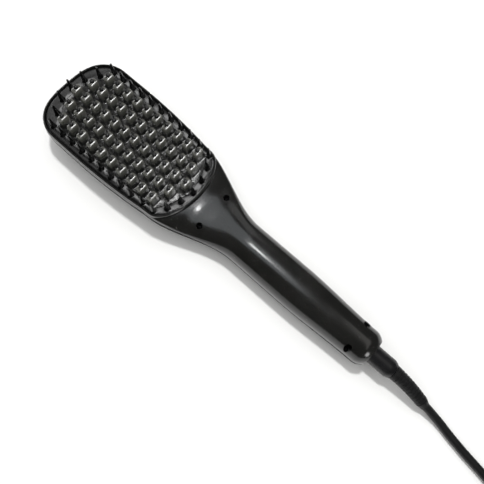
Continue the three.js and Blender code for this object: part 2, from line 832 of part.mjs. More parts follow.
function boardComponent({ from, y, length, width, height }) {
  const x = boardStartX + from;
  return box(x, x + length, y - width / 2, y + width / 2, boardFrontZ, boardFrontZ + height);
}

function triac() {
  const x = boardStartX + triacBody.from;
  const tabEndX = x + triacBody.length - triacTab.inset;
  const top = boardFrontZ + triacBody.height;
  return boardComponent(triacBody).add(box(x + triacTab.inset, tabEndX,
    -triacTab.thickness / 2, triacTab.thickness / 2, top - 0.1, top + triacTab.height));
}

// Inner wires, from the board's end through the neck to the heating pack
function wire(points) {
  return tube(points.map(([x, y, z]) => new THREE.Vector3(x, y, z)), wireRadius, 6);
}

const boardMiddleZ = boardBackZ + boardThickness / 2;
const neckSteps = 7;

function neckStretch(endX, y0, y1, z1) {
  const startX = boardEndX + gap;
  return Array.from({ length: neckSteps + 1 }, (_, k) => {
    const share = k / neckSteps;
    const turn = smooth((share - 0.3) / 0.6);
    return [startX + share * (endX - startX), y0 + turn * (y1 - y0), boardMiddleZ + turn * (z1 - boardMiddleZ)];
  });
}

function heaterLead(side) {
  const z = heaterTopZ - wireRadius - 0.05;
  const y = (side * columnPitch) / 2;
  const neck = neckStretch(clampStartX - 1, side * heaterLeadSpread, y, z);
  return wire([...neck, [fieldMiddleX - heaterLength / 2 - gap, y, z]]);
}

// A lead that runs under the pad and turns up into its sensing window
function windowLead(side, place, topZ) {
  const underZ = padTopZ - padThickness - 4 * wireRadius;
  const neck = neckStretch(clampStartX, side * sensorLeadSpread, place.y, underZ);
  const bend = 3 * wireRadius;
  return wire([
    ...neck, [place.x - 2 * bend, place.y, underZ],
    [place.x - 0.6 * bend, place.y, underZ + 0.25 * bend],
    [place.x - 0.15 * bend, place.y, underZ + 0.8 * bend],
    [place.x, place.y, underZ + 1.8 * bend], [place.x, place.y, topZ],
  ]);
}

function supplyLead(side) {
  const startX = contactBlockX + contactBlockLength + gap;
  const endX = boardStartX + terminals.from - gap;
  const startZ = contactSeatZ + gap + contactBlockHeight / 2;
  const endZ = boardFrontZ + terminals.height / 2;
  const y = side * contactBlockWidth * 0.4;
  return wire([0, 0.15, 0.35, 0.5, 0.65, 0.85, 1].map((share) =>
    [startX + share * (endX - startX), y, startZ + smooth((share - 0.15) / 0.7) * (endZ - startZ)]));
}

// Cord swivel: a barrel that turns in the handle's end, with slip rings on its spindle
function swivelBarrel() {
  const spindleEnd = flangeStartX + spindleLength;
  return turnedAboutX([
    [-barrelLength, 0], [-barrelLength, barrelMouthRadius],
    [-barrelLength + barrelConeLength, barrelRadius], [flangeStartX, barrelRadius],
    [flangeStartX, barrelRadius + barrelFlange],
    [flangeStartX + barrelFlangeLength, barrelRadius + barrelFlange],
    [flangeStartX + barrelFlangeLength, spindleRadius], [spindleEnd, spindleRadius], [spindleEnd, 0],
  ], 20);
}

function slipRing(x) {
  const inner = spindleRadius + gap;
  return turnedAboutX([
    [x, inner], [x, slipRingRadius], [x + slipRingWidth, slipRingRadius], [x + slipRingWidth, inner],
    [x, inner],
  ], 16);
}

function contactBlock() {
  const half = contactBlockWidth / 2;
  return box(contactBlockX, contactBlockX + contactBlockLength, -half, half,
    contactSeatZ + gap, contactSeatZ + gap + contactBlockHeight);
}

// A sprung leaf that rises from the contact block to its slip ring
function contactLeaf(x) {
  const base = contactSeatZ + contactBlockHeight + 2 * gap;
  const top = handleAxisZ - slipRingRadius - gap;
  const outline = [
    [-3.2, base], [-0.8, base], [1.2, top - 0.3], [2.4, top - 0.5], [2.4, top - 0.2],
    [1.0, top], [-1.1, base + 0.35], [-3.2, base + 0.35],
  ];
  const shape = new THREE.Shape(outline.map(([y, z]) => new THREE.Vector2(y, z)));
  const geometry = new THREE.ExtrudeGeometry(shape, { depth: slipRingWidth - 0.4, bevelEnabled: false });
  geometry.rotateX(Math.PI / 2);
  geometry.rotateZ(Math.PI / 2);
  geometry.translate(x + 0.2, 0, 0);
  return solidFacingOut(geometry);
}

// Strain relief: starts along the swivel's axis and sags towards the surface
function reliefPoint(t) {
  return new THREE.Vector3(
    -barrelLength - gap - t * (reliefLength - gap),
    reliefDrift * t * t,
    handleAxisZ - reliefDrop * Math.max(0, t) ** 1.8,
  );
}

// Its radius at a share of its length: a slow taper, then a short shoulder down to the cord
function reliefRadiusAt(t) {
  const bodyShare = 0.86;
  if (t < bodyShare) return THREE.MathUtils.lerp(reliefRadius, reliefEndRadius, t / bodyShare);
  return THREE.MathUtils.mapLinear(t, bodyShare, 1, reliefEndRadius, cordRadius + reliefMouth);
}

function strainRelief() {
  const rings = Array.from({ length: 11 }, (_, k) => {
    const t = k / 10;
    const along = reliefPoint(t + 0.01).sub(reliefPoint(t - 0.01)).normalize();
    const side = new THREE.Vector3(0, 1, 0).addScaledVector(along, -along.y).normalize();
    const up = new THREE.Vector3().crossVectors(along, side);
    return Array.from({ length: reliefSides }, (_, i) => {
      const angle = (2 * Math.PI * i) / reliefSides;
      return reliefPoint(t)
        .addScaledVector(side, reliefRadiusAt(t) * Math.cos(angle))
        .addScaledVector(up, reliefRadiusAt(t) * Math.sin(angle));
    });
  });
  return loft(rings);
}

// The cord's free stretch, from the relief along the surface to the start of the coil
const reliefEnd = reliefPoint(1);
const coilOuterRadius = coilInnerRadius + (coilPitch * coilTurns) / 2;
const coilLeadIn = cordDiameter + 1;
const cordRoute = [
  [reliefEnd.x - 0.9, reliefEnd.y + 0.1, reliefEnd.z - 0.37],
  [-47.7, 1.8, 6.3], [-51.7, 2.1, 4.9], [-55.7, 2.5, 3.85], [-59.7, 3.1, 3.15], [-64.2, 4.1, 2.8],
  [-70.2, 5.3, 2.8], [-78.2, 6.7, 2.8], [-87.2, 8.0, 2.8], [-95.5, 9.2, 2.8], [-102.2, 10.6, 2.8],
  [-108.7, 12.8, 2.8], [-115.2, 15.8, 2.8], [-121.2, 18.8, 2.8], [-126.7, 21.0, 2.8],
];

function powerCord() {
  const points = cordRoute.map(([x, y, z]) => new THREE.Vector3(x, y, z));
  const end = new THREE.Vector3(
    coilCentre.x + coilLeadIn + gap, coilCentre.y + coilOuterRadius, cordFloorZ);
  points.push(end.clone().setX(end.x + cordDiameter), end);
  return tube(points, cordRadius, cordSides);
}

// Coil: one tube that spirals in on the lower layer, climbs at the middle and spirals out again
const layerRise = cordDiameter + 0.6;
const tieAngle = Math.PI;
const tieLift = 1.2;

function coilPoint(turn) {
  const angle = Math.PI / 2 + 2 * Math.PI * turn;
  const fromReversal = turn - coilTurns / 2;
  const radius = coilInnerRadius + coilPitch * Math.abs(fromReversal);
  const layer = smooth(fromReversal * 2 + 0.5);
  const toTie = Math.atan2(Math.sin(angle - tieAngle), Math.cos(angle - tieAngle));
  const lift = tieLift * Math.exp(-((toTie / 0.45) ** 2));
  return new THREE.Vector3(
    coilCentre.x + radius * Math.cos(angle),
    coilCentre.y + radius * Math.sin(angle),
    cordFloorZ + layer * layerRise + lift,
  );
}

const plugAxisZ = plugThickness / 2 + 0.1;
const plugNeckLength = 6;
const plugRearX = coilCentre.x + plugNeckLength + gap + 16;

function coilPoints() {
  const start = coilPoint(0);
  const points = [new THREE.Vector3(start.x + coilLeadIn, start.y, start.z)];
  points.push(new THREE.Vector3(start.x + coilLeadIn / 2, start.y, start.z));
  const steps = Math.round(coilTurns * coilStepsPerTurn);
  for (let k = 0; k <= steps; k++) points.push(coilPoint((k / steps) * coilTurns));
  const end = points.at(-1);
  for (const share of [0.3, 0.55, 0.8, 1]) {
    points.push(new THREE.Vector3(
      end.x + share * (plugRearX - plugNeckLength - gap - end.x),
      end.y,
      end.z + smooth(share * 1.2) * (plugAxisZ - end.z),
    ));
  }
  return points;
}

// Least distance between stretches of the coil that aren't neighbours along it
function leastGap(points) {
  const curve = new THREE.CatmullRomCurve3(points);
  const samples = curve.getPoints(points.length * 3);
  const apart = Math.round(samples.length / coilTurns / 3);
  let least = Infinity;
  for (let i = 0; i < samples.length; i++) {
    for (let j = i + apart; j < samples.length; j++) {
      least = Math.min(least, samples[i].distanceTo(samples[j]));
    }
  }
  return least - cordDiameter;
}

function cordCoil() {
  const points = coilPoints();
  let length = 0;
  for (let i = 1; i < points.length; i++) length += points[i].distanceTo(points[i - 1]);
  console.log(`coil: length ${length.toFixed(0)} mm, least gap to itself ${leastGap(points).toFixed(2)} mm`);
  return tube(points, cordRadius, coilSides);
}

// A strap closed round the whole bundle
function cordTie() {
  const inner = { r0: coilInnerRadius - cordRadius - 0.9, r1: coilOuterRadius + cordRadius + 0.4 };
  const low = tieThickness + 0.1;
  const high = cordFloorZ + tieLift + layerRise + cordRadius + 0.4;
  const outer = new THREE.Shape([
    new THREE.Vector2(inner.r0 - tieThickness, low - tieThickness),
    new THREE.Vector2(inner.r1 + tieThickness, low - tieThickness),
    new THREE.Vector2(inner.r1 + tieThickness, high + tieThickness),
    new THREE.Vector2(inner.r0 - tieThickness, high + tieThickness),
  ]);
  outer.holes.push(new THREE.Path([
    new THREE.Vector2(inner.r0, low), new THREE.Vector2(inner.r0, high),
    new THREE.Vector2(inner.r1, high), new THREE.Vector2(inner.r1, low),
  ]));
  const geometry = new THREE.ExtrudeGeometry(outer, { depth: tieWidth, bevelEnabled: false });
  geometry.translate(0, 0, -tieWidth / 2);
  geometry.rotateX(Math.PI / 2);
  geometry.rotateZ(tieAngle);
  geometry.translate(coilCentre.x, coilCentre.y, 0);
  return solidFacingOut(geometry);
}

// Flat two-pin plug, lying on its side next to the coil
const plugY = coilCentre.y - coilOuterRadius;

function plugSection(x, halfAcross, halfThick) {
  return eightPoint(0, 0, 2 * halfThick, 2 * halfAcross, 0)
    .map((p) => new THREE.Vector3(plugRearX + x, plugY + p.y, plugAxisZ + p.x));
}

function plugPinPlaces() {
  return [plugY + plugPinSpacing / 2, plugY - plugPinSpacing / 2];
}

function plugBody() {
  const halfAcross = plugWidth / 2;
  const halfThick = plugThickness / 2;
  const body = loft([
    plugSection(-plugNeckLength, cordRadius + 0.8, cordRadius + 0.8),
    plugSection(0, cordRadius + 2, cordRadius + 1.6),
    plugSection(plugLength * 0.35, halfAcross * 0.72, halfThick * 0.95),
    plugSection(plugLength * 0.7, halfAcross, halfThick),
    plugSection(plugLength, halfAcross, halfThick),
  ]);
  const bores = plugPinPlaces().map((y) =>
    rodX(plugPinRadius + gap, plugRearX + plugLength - plugPinDepth, plugRearX + plugLength + 1,
      y, plugAxisZ, 12));
  return body.subtract(wasm.Manifold.union(bores));
}

function plugPin(y) {
  const start = plugRearX + plugLength - plugPinDepth + gap;
  const end = plugRearX + plugLength + plugPinLength;
  return turnedAboutX([
    [start, 0], [start, plugPinRadius], [end - 1.2, plugPinRadius], [end, plugPinRadius * 0.6], [end, 0],
  ], 12, y, plugAxisZ);
}

// Assembly
add('front_shell', frontShell(), blackGloss);
add('rear_shell', rearShell(), blackGloss);
add('heating_plate', heatingPlate(), ceramicGrey);
add('cool_bristle_ring', coolBristleRing(), blackNylon);
for (let column = 0; column < columnCount; column++) {
  add(`tip_comb_${column + 1}`, tipComb(column), blackNylon);
}

for (const [name, side] of [['heater_strip_left', 1], ['heater_strip_right', -1]]) {
  const y = (side * columnPitch) / 2;
  add(name, box(fieldMiddleX - heaterLength / 2, fieldMiddleX + heaterLength / 2,
    y - heaterWidth / 2, y + heaterWidth / 2, heaterTopZ - combThickness, heaterTopZ), heaterWhite);
}
add('clamp_plate', clampPlate(), steel);
add('insulation_pad', insulationPad(), micaBeige);
clampScrewPlaces().forEach(([x, y], k) => {
  const screw = add(`clamp_screw_${k + 1}`, machineScrew(clampScrewHead, clampScrewHeadHeight,
    clampScrewShank, clampScrewLength), steel);
  screw.rotation.x = Math.PI;
  screw.position.set(x, y, clampTopZ - clampThickness - gap);
});
add('temperature_sensor', box(sensorPlace.x - sensorLength / 2, sensorPlace.x + sensorLength / 2,
  sensorPlace.y - sensorWidth / 2, sensorPlace.y + sensorWidth / 2,
  heaterTopZ - sensorThickness, heaterTopZ), heaterWhite);
add('thermal_fuse', rodX(fuseRadius, fusePlace.x - fuseLength / 2, fusePlace.x + fuseLength / 2,
  fusePlace.y, heaterTopZ - fuseRadius, 12), steel);

for (const [name, x] of Object.entries(buttonPlaces)) {
  add(name, button(), blackNylon).position.x = x;
  add(name.replace('button', 'switch'), tactSwitch(), blackNylon).position.x = x;
}
add('display_lens', displayLens(), smokedClear);
add('display_module', displayModule(), componentBlue);
add('main_board', mainBoard(), boardGreen);
add('mains_capacitor', boardComponent(capacitor), componentBlue);
add('power_relay', boardComponent(relay), componentBlue);
add('triac', triac(), blackNylon);
add('terminal_block', boardComponent(terminals), boardGreen);
add('heater_lead_left', heaterLead(1), copperWire);
add('heater_lead_right', heaterLead(-1), copperWire);
add('sensor_lead', windowLead(1, sensorPlace, heaterTopZ - sensorThickness - gap), copperWire);
add('fuse_lead', windowLead(-1, fusePlace, heaterTopZ - 2 * fuseRadius - gap), copperWire);
add('supply_lead_left', supplyLead(1), copperWire);
add('supply_lead_right', supplyLead(-1), copperWire);

for (const [name, [x, y]] of Object.entries(shellScrews)) {
  const screw = add(name, machineScrew(screwHeadRadius, screwHeadHeight,
    screwShankRadius, screwShankLength), steel);
  screw.position.set(x, y, shoulderZ(x) + gap);
}

add('swivel_barrel', swivelBarrel(), blackNylon);
slipRingPlaces.forEach((x, k) => {
  add(`slip_ring_${k + 1}`, slipRing(x), brass);
  add(`contact_leaf_${k + 1}`, contactLeaf(x), brass);
});
add('contact_block', contactBlock(), blackNylon);
add('strain_relief', strainRelief(), blackRubber);
add('power_cord', powerCord(), blackRubber);
add('cord_coil', cordCoil(), blackRubber);
add('cord_tie', cordTie(), blackNylon);
add('plug_body', plugBody(), blackRubber);
plugPinPlaces().forEach((y, k) => add(`plug_pin_${k + 1}`, plugPin(y), steel));

const cordParts = ['power_cord', 'cord_coil', 'cord_tie', 'plug_body', 'plug_pin_1', 'plug_pin_2'];
const extent = new THREE.Box3();
for (const mesh of brush.children) {
  if (!cordParts.includes(mesh.name)) extent.expandByObject(mesh);
}
brush.position.x = -(extent.min.x + extent.max.x) / 2;
brush.position.y = -(extent.min.y + extent.max.y) / 2;

export default brush;
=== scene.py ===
# %% [markdown]
# # A heated styling brush, dressed for its photograph
# The brush lies on its back on a white table, bristles up, with its mains lead running off to the left.
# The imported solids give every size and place. This lesson builds finer pieces over them, gives each
# piece the finish of the real material, and lights the table the way a small product studio does.

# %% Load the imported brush
import json
import math

import bmesh
import bpy
import numpy as np
from mathutils import Matrix, Vector

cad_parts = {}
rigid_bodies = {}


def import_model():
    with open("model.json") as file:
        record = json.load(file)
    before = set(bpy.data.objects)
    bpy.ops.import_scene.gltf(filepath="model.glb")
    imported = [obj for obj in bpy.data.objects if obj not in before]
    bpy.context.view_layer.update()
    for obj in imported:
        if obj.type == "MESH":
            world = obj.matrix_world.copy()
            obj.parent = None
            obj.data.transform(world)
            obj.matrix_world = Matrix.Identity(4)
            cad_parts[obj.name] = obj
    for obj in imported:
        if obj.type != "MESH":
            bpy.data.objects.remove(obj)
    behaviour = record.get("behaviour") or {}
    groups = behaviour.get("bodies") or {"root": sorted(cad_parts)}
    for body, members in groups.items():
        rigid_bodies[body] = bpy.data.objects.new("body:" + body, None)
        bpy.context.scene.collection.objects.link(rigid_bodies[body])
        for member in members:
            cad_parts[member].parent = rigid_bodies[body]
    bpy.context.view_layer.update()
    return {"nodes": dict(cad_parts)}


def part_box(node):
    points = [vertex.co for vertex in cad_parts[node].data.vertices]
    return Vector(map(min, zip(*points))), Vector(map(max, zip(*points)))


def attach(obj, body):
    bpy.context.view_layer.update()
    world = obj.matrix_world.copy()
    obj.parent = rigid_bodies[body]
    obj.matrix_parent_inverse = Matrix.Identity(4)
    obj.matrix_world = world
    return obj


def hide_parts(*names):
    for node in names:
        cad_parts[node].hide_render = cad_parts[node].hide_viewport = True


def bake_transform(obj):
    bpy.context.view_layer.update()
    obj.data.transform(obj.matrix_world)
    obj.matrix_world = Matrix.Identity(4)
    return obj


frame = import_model()
print("packed pieces:", len(frame["nodes"]))

# %% [markdown]
# Lengths below are in millimetres, with x counted from the handle's end face, because that is how a
# maker would draw the brush. One shift and one factor bring a point into Blender's metres. The shift
# comes from the mouth of the swivel barrel, which sticks out of the handle by its own length.

# %% Millimetres to Blender's metres
MM = 0.001
BARREL_LENGTH = 16.9
END_FACE_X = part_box("swivel_barrel")[0].x / MM + BARREL_LENGTH


def place(point):
    x, y, z = point
    return ((x + END_FACE_X) * MM, y * MM, z * MM)


print("the handle's end face is at x =", round(END_FACE_X, 2), "mm")

# %% [markdown]
# ## Camera
# The photograph looks down on the brush from above the handle, slightly turned. A camera is set by
# where it stands and by two directions: where it looks and which way is up in the picture. The lens
# is 37 mm on a 36 mm sensor, which is the mild perspective that the photograph shows.

# %% Camera
SENSOR, FOCAL_PIXELS, PICTURE_PIXELS = 36.0, 500, 484
CAMERA_PLACE = Vector((-68.76, 71.90, 324.39))
LOOK, PICTURE_UP = Vector((0.1893, -0.2203, -0.9569)), Vector((0.642, -0.7096, 0.2904))
camera_data = bpy.data.cameras.new("camera")
camera_data.sensor_width = SENSOR
camera_data.lens = SENSOR * FOCAL_PIXELS / PICTURE_PIXELS
camera_data.clip_start = 0.01
camera = bpy.data.objects.new("camera", camera_data)
bpy.context.scene.collection.objects.link(camera)
back = -LOOK.normalized()
right = PICTURE_UP.cross(back).normalized()
turn = Matrix((right, back.cross(right), back)).transposed().to_4x4()
camera.matrix_world = Matrix.Translation(CAMERA_PLACE * MM) @ turn
bpy.context.scene.camera = camera
print("camera at", [round(v, 3) for v in camera.location])

# %% [markdown]
# ## Tools for building
# Most pieces of a moulded product are sections joined along a line, so one function joins rings of
# points into a closed skin. Another one joins, cuts or crosses two closed pieces with Blender's exact
# Boolean. Edges sharper than a set angle stay crisp, and all else is shaded smooth.

# %% A clean, smooth skin
SHARP_ANGLE = math.radians(38)
WELD = 0.002 * MM


def smooth_shade(piece):
    form = bmesh.new()
    form.from_mesh(piece.data)
    bmesh.ops.remove_doubles(form, verts=form.verts, dist=WELD)
    bmesh.ops.dissolve_degenerate(form, edges=form.edges, dist=WELD)
    bmesh.ops.recalc_face_normals(form, faces=form.faces)
    form.to_mesh(piece.data)
    form.free()
    piece.data.shade_smooth()
    piece.data.set_sharp_from_angle(angle=SHARP_ANGLE)
    return piece


def piece_of(name, points, faces):
    mesh = bpy.data.meshes.new(name)
    mesh.from_pydata([place(point) for point in points], [], faces)
    piece = bpy.data.objects.new(name, mesh)
    bpy.context.scene.collection.objects.link(piece)
    return smooth_shade(piece)


print("points closer than", WELD, "m become one")

# %% Pieces from rings
def ring_faces(ring_count, count, first=0):
    faces = [
        (first + r * count + i, first + r * count + (i + 1) % count,
         first + (r + 1) * count + (i + 1) % count, first + (r + 1) * count + i)
        for r in range(ring_count - 1) for i in range(count)
    ]
    last = first + (ring_count - 1) * count
    return faces + [tuple(range(first, first + count)), tuple(range(last, last + count))]


def loft(name, rings):
    points = [point for ring in rings for point in ring]
    return piece_of(name, points, ring_faces(len(rings), len(rings[0])))


def several(name, ring_lists):
    points, faces = [], []
    for rings in ring_lists:
        faces += ring_faces(len(rings), len(rings[0]), len(points))
        points += [point for ring in rings for point in ring]
    return piece_of(name, points, faces)


print("faces of two square rings:", len(ring_faces(2, 4)))

# %% Joining and cutting
def combine(piece, tool, how):
    step = piece.modifiers.new(how.lower(), "BOOLEAN")
    step.operation = how
    step.solver = "EXACT"
    step.object = tool
    graph = bpy.context.evaluated_depsgraph_get()
    made = bpy.data.meshes.new_from_object(piece.evaluated_get(graph))
    piece.modifiers.clear()
    piece.data = made
    bpy.data.objects.remove(tool)
    return smooth_shade(piece)


def slab(x0, x1, y0, y1, z0, z1):
    return [[(x, y0, z0), (x, y1, z0), (x, y1, z1), (x, y0, z1)] for x in (x0, x1)]


def turned_z(x, y, profile, sides=24):
    turns = [2 * math.pi * i / sides for i in range(sides)]
    return [[(x + r * math.cos(a), y + r * math.sin(a), z) for a in turns] for r, z in profile]


def turned_x(y, z, profile, sides=48):
    turns = [2 * math.pi * i / sides for i in range(sides)]
    return [[(x, y + r * math.cos(a), z + r * math.sin(a)) for a in turns] for r, x in profile]


print("pieces are closed skins through rings, joined by exact Booleans")

# %% [markdown]
# ## The mains lead
# A lead of this size is a round PVC cable, 5.4 mm across, that bends no tighter than about four times
# its own width. It leaves the strain relief, sags to the table, runs off past the edge of the view and
# ends in a neat two-layer coil. A tube swept along one smooth line is the whole job. The line repeats
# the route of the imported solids.

# %% Sizes of the lead, its coil and the plug's place
CORD_RADIUS, AXIS_Z = 2.7, 14.5
LIFT = 0.1  # what lies on the table keeps this far from it
GAP = 0.3  # the room between two pieces that don't touch
FLOOR_Z = CORD_RADIUS + LIFT
RELIEF_LENGTH, RELIEF_DROP, RELIEF_DRIFT = 25.3, 6.3, 1.5
COIL_X, COIL_Y, COIL_TURNS = -142.7, -20.0, 8.5
COIL_INNER, COIL_PITCH, TURN_POINTS = 18.3, 5.95, 24
COIL_OUTER = COIL_INNER + COIL_PITCH * COIL_TURNS / 2
LAYER_RISE, LEAD_IN = 6.0, 6.4
TIE_LIFT, TIE_HUMP = 1.2, 0.45
PLUG_NECK, PLUG_OFFSET = 6.0, 16
PLUG_REAR_X = COIL_X + PLUG_NECK + GAP + PLUG_OFFSET
PLUG_THICKNESS, PLUG_WIDTH, PLUG_LENGTH = 13.6, 35.0, 36.0
PLUG_Y, PLUG_Z = COIL_Y - COIL_OUTER, PLUG_THICKNESS / 2 + LIFT
print("the coil is", round(2 * (COIL_OUTER + CORD_RADIUS)), "mm across")

# %% The sleeve's line and the coil's


def smooth(t):
    share = min(max(t, 0.0), 1.0)
    return share * share * (3 - 2 * share)


def relief_point(t):
    x = -BARREL_LENGTH - GAP - t * (RELIEF_LENGTH - GAP)
    return (x, RELIEF_DRIFT * t * t, AXIS_Z - RELIEF_DROP * max(t, 0.0) ** 1.8)


def coil_point(turn):
    angle = math.pi / 2 + 2 * math.pi * turn
    from_middle = turn - COIL_TURNS / 2
    radius = COIL_INNER + COIL_PITCH * abs(from_middle)
    to_tie = math.atan2(math.sin(angle - math.pi), math.cos(angle - math.pi))
    lift = TIE_LIFT * math.exp(-((to_tie / TIE_HUMP) ** 2))
    z = FLOOR_Z + smooth(from_middle * 2 + 0.5) * LAYER_RISE + lift
    return (COIL_X + radius * math.cos(angle), COIL_Y + radius * math.sin(angle), z)


print("the sleeve ends at", [round(v, 1) for v in relief_point(1)])

# %% The line that the lead follows
def lead_points():
    end = relief_point(1)
    points = [
        (end[0] - 0.9, end[1] + 0.1, end[2] - 0.37),
        (-47.7, 1.8, 6.3), (-51.7, 2.1, 4.9), (-55.7, 2.5, 3.85), (-59.7, 3.1, 3.15), (-64.2, 4.1, 2.8),
        (-70.2, 5.3, 2.8), (-78.2, 6.7, 2.8), (-87.2, 8.0, 2.8), (-95.5, 9.2, 2.8), (-102.2, 10.6, 2.8),
        (-108.7, 12.8, 2.8), (-115.2, 15.8, 2.8), (-121.2, 18.8, 2.8), (-126.7, 21.0, 2.8),
    ]
    start = coil_point(0)
    points += [(start[0] + LEAD_IN + extra, start[1], start[2]) for extra in (5.7, 0.3, -3.2)]
    steps = round(COIL_TURNS * TURN_POINTS)
    points += [coil_point(k / steps * COIL_TURNS) for k in range(steps + 1)]
    last = points[-1]
    for share in (0.3, 0.55, 0.8, 1):
        x = last[0] + share * (PLUG_REAR_X - PLUG_NECK - GAP - last[0])
        points.append((x, last[1], last[2] + smooth(share * 1.2) * (PLUG_Z - last[2])))
    return points


route = lead_points()
print("points on the lead's line:", len(route))

# %% [markdown]
# The few points of a line become many by a centripetal Catmull-Rom spline, which goes through every
# point and doesn't swing out where two lie close together.

# %% A finer line
def finer(points, step=2.0):
    p = np.array([points[0]] + list(points) + [points[-1]], float)
    p[0] = 2 * p[1] - p[2]
    p[-1] = 2 * p[-2] - p[-3]
    line = []
    for i in range(1, len(p) - 2):
        count = max(1, round(np.linalg.norm(p[i + 1] - p[i]) / step))
        knots = np.cumsum([0] + [np.linalg.norm(p[i + k] - p[i + k - 1]) ** 0.5 for k in range(3)])
        for share in np.arange(count) / count:
            t = knots[1] + share * (knots[2] - knots[1])
            a = [p[i + k - 1] + (t - knots[k]) / (knots[k + 1] - knots[k]) * (p[i + k] - p[i + k - 1])
                 for k in range(3)]
            b = [a[k] + (t - knots[k]) / (knots[k + 2] - knots[k]) * (a[k + 1] - a[k]) for k in range(2)]
            line.append(b[0] + share * (b[1] - b[0]))
    return np.array(line + [p[-2]])


lead_line = finer(route)
lead_length = float(np.linalg.norm(np.diff(lead_line, axis=0), axis=1).sum()) * MM
print("lead:", round(lead_length, 3), "m")

# %% A tube along a line
def tube_rings(line, radius_at, sides):
    along = np.gradient(line, axis=0)
    along /= np.linalg.norm(along, axis=1)[:, None]
    side = np.array([0.0, 1.0, 0.0])
    rings = []
    for k, (centre, direction) in enumerate(zip(line, along)):
        side = side - side.dot(direction) * direction
        side /= np.linalg.norm(side)
        over = np.cross(direction, side)
        radius = radius_at(k / (len(line) - 1))
        turns = [2 * math.pi * (i + 0.5) / sides for i in range(sides)]
        rings.append([tuple(centre + radius * (math.cos(a) * side + math.sin(a) * over)) for a in turns])
    return rings


lead = loft("power_lead", tube_rings(lead_line, lambda t: CORD_RADIUS, 16))
print("lead:", len(lead.data.polygons), "faces")

# %% [markdown]
# ## Plug
# A flat moulded plug for two round pins: a body that swells from the lead to a broad grip, with
# grooves for the fingers, and pins sleeved in plastic for half their length so that a half-drawn plug
# has no live metal within reach. Rounded sections joined along the lead's direction make the body.

# %% Sections of the plug
REAR_HALF_WIDTH, REAR_HALF_THICK, PLUG_STEPS, GROOVE = 4.7, 4.3, 32, 0.35


def rounded(half_a, half_b, power=4.0, sides=40):
    turns = [2 * math.pi * i / sides for i in range(sides)]
    return [
        (half_a * math.copysign(abs(math.cos(a)) ** (2 / power), math.cos(a)),
         half_b * math.copysign(abs(math.sin(a)) ** (2 / power), math.sin(a)))
        for a in turns
    ]


def plug_half_width(share):
    swell = smooth((share - 0.12) / 0.5)
    grip = 0.9 * math.sin(math.pi * min(max((share - 0.45) / 0.4, 0), 1)) ** 2
    return REAR_HALF_WIDTH + (PLUG_WIDTH / 2 - REAR_HALF_WIDTH) * swell - grip


def plug_rings():
    rings = []
    for x, half in ((-6.0, 3.3), (-5.6, 3.6), (-3.0, 3.8), (-0.8, 4.0)):
        rings.append([(PLUG_REAR_X + x, PLUG_Y + a, PLUG_Z + b) for a, b in rounded(half, half, 2.4)])
    for k in range(PLUG_STEPS + 1):
        share = k / PLUG_STEPS
        half_thick = REAR_HALF_THICK + (PLUG_THICKNESS / 2 - REAR_HALF_THICK) * smooth(share / 0.45)
        groove = GROOVE if 14 <= k <= 26 and k % 3 == 2 else 0.0
        ends = 0.9 * max(0.0, (share - 0.965) / 0.035) ** 2
        x = PLUG_REAR_X + share * PLUG_LENGTH
        section = rounded(plug_half_width(share) - ends, half_thick - groove - ends, 2.6 + 2.4 * share)
        rings.append([(x, PLUG_Y + a, PLUG_Z + b) for a, b in section])
    return rings


print("sections of the plug:", len(plug_rings()))

# %% Plug body
plug = loft("plug", plug_rings())
PIN_SPACING, PIN_RADIUS, PIN_LENGTH, PIN_DEPTH = 18.6, 2.0, 19.0, 6.0
pin_places = [PLUG_Y + PIN_SPACING / 2, PLUG_Y - PIN_SPACING / 2]
plug_face = PLUG_REAR_X + PLUG_LENGTH
bore = [(PIN_RADIUS + 0.25, plug_face - PIN_DEPTH), (PIN_RADIUS + 0.25, plug_face + 1)]
bores = several("pin_bores", [turned_x(y, PLUG_Z, bore, 24) for y in pin_places])
combine(plug, bores, "DIFFERENCE")
print("plug body:", len(plug.data.polygons), "faces")

# %% Plug pins and their sleeves
SLEEVE_LENGTH = 15.0
pins = []
for k, y in enumerate(pin_places):
    x0, x1 = plug_face - PIN_DEPTH + GAP, plug_face + PIN_LENGTH
    sleeve_end = x0 + SLEEVE_LENGTH
    pins.append(loft(f"plug_pin_metal_{k + 1}", turned_x(y, PLUG_Z, [
        (1.4, x0), (1.45, sleeve_end - 0.3), (1.95, sleeve_end), (2.0, sleeve_end + 0.2),
        (2.0, x1 - 1.6), (1.85, x1 - 0.8), (1.45, x1 - 0.2), (0.9, x1)], 32)))
    sleeve = loft(f"plug_pin_sleeve_{k + 1}", turned_x(y, PLUG_Z, [
        (2.0, x0), (2.0, sleeve_end - 0.5), (1.9, sleeve_end - 0.05), (1.7, sleeve_end - 0.02)], 32))
    core = loft("core", turned_x(y, PLUG_Z, [(1.5, x0 - 1), (1.5, sleeve_end + 1)], 32))
    pins.append(combine(sleeve, core, "DIFFERENCE"))
print("pins:", [pin.name for pin in pins])

# %% [markdown]
# ## Tie round the coil
# A strap of hook tape closed on itself holds the turns together. It is a flat band round the bundle
# with rounded corners and thin edges. A solid band with a hole cut through it is the simplest way.

# %% Tie strap
TIE_WIDTH, TIE_THICKNESS, TIE_ROOM = 8.0, 0.8, 0.4
tie_r0 = COIL_INNER - CORD_RADIUS - 0.9
tie_r1 = COIL_OUTER + CORD_RADIUS + TIE_ROOM
tie_low = TIE_THICKNESS + LIFT
tie_high = FLOOR_Z + TIE_LIFT + LAYER_RISE + CORD_RADIUS + TIE_ROOM


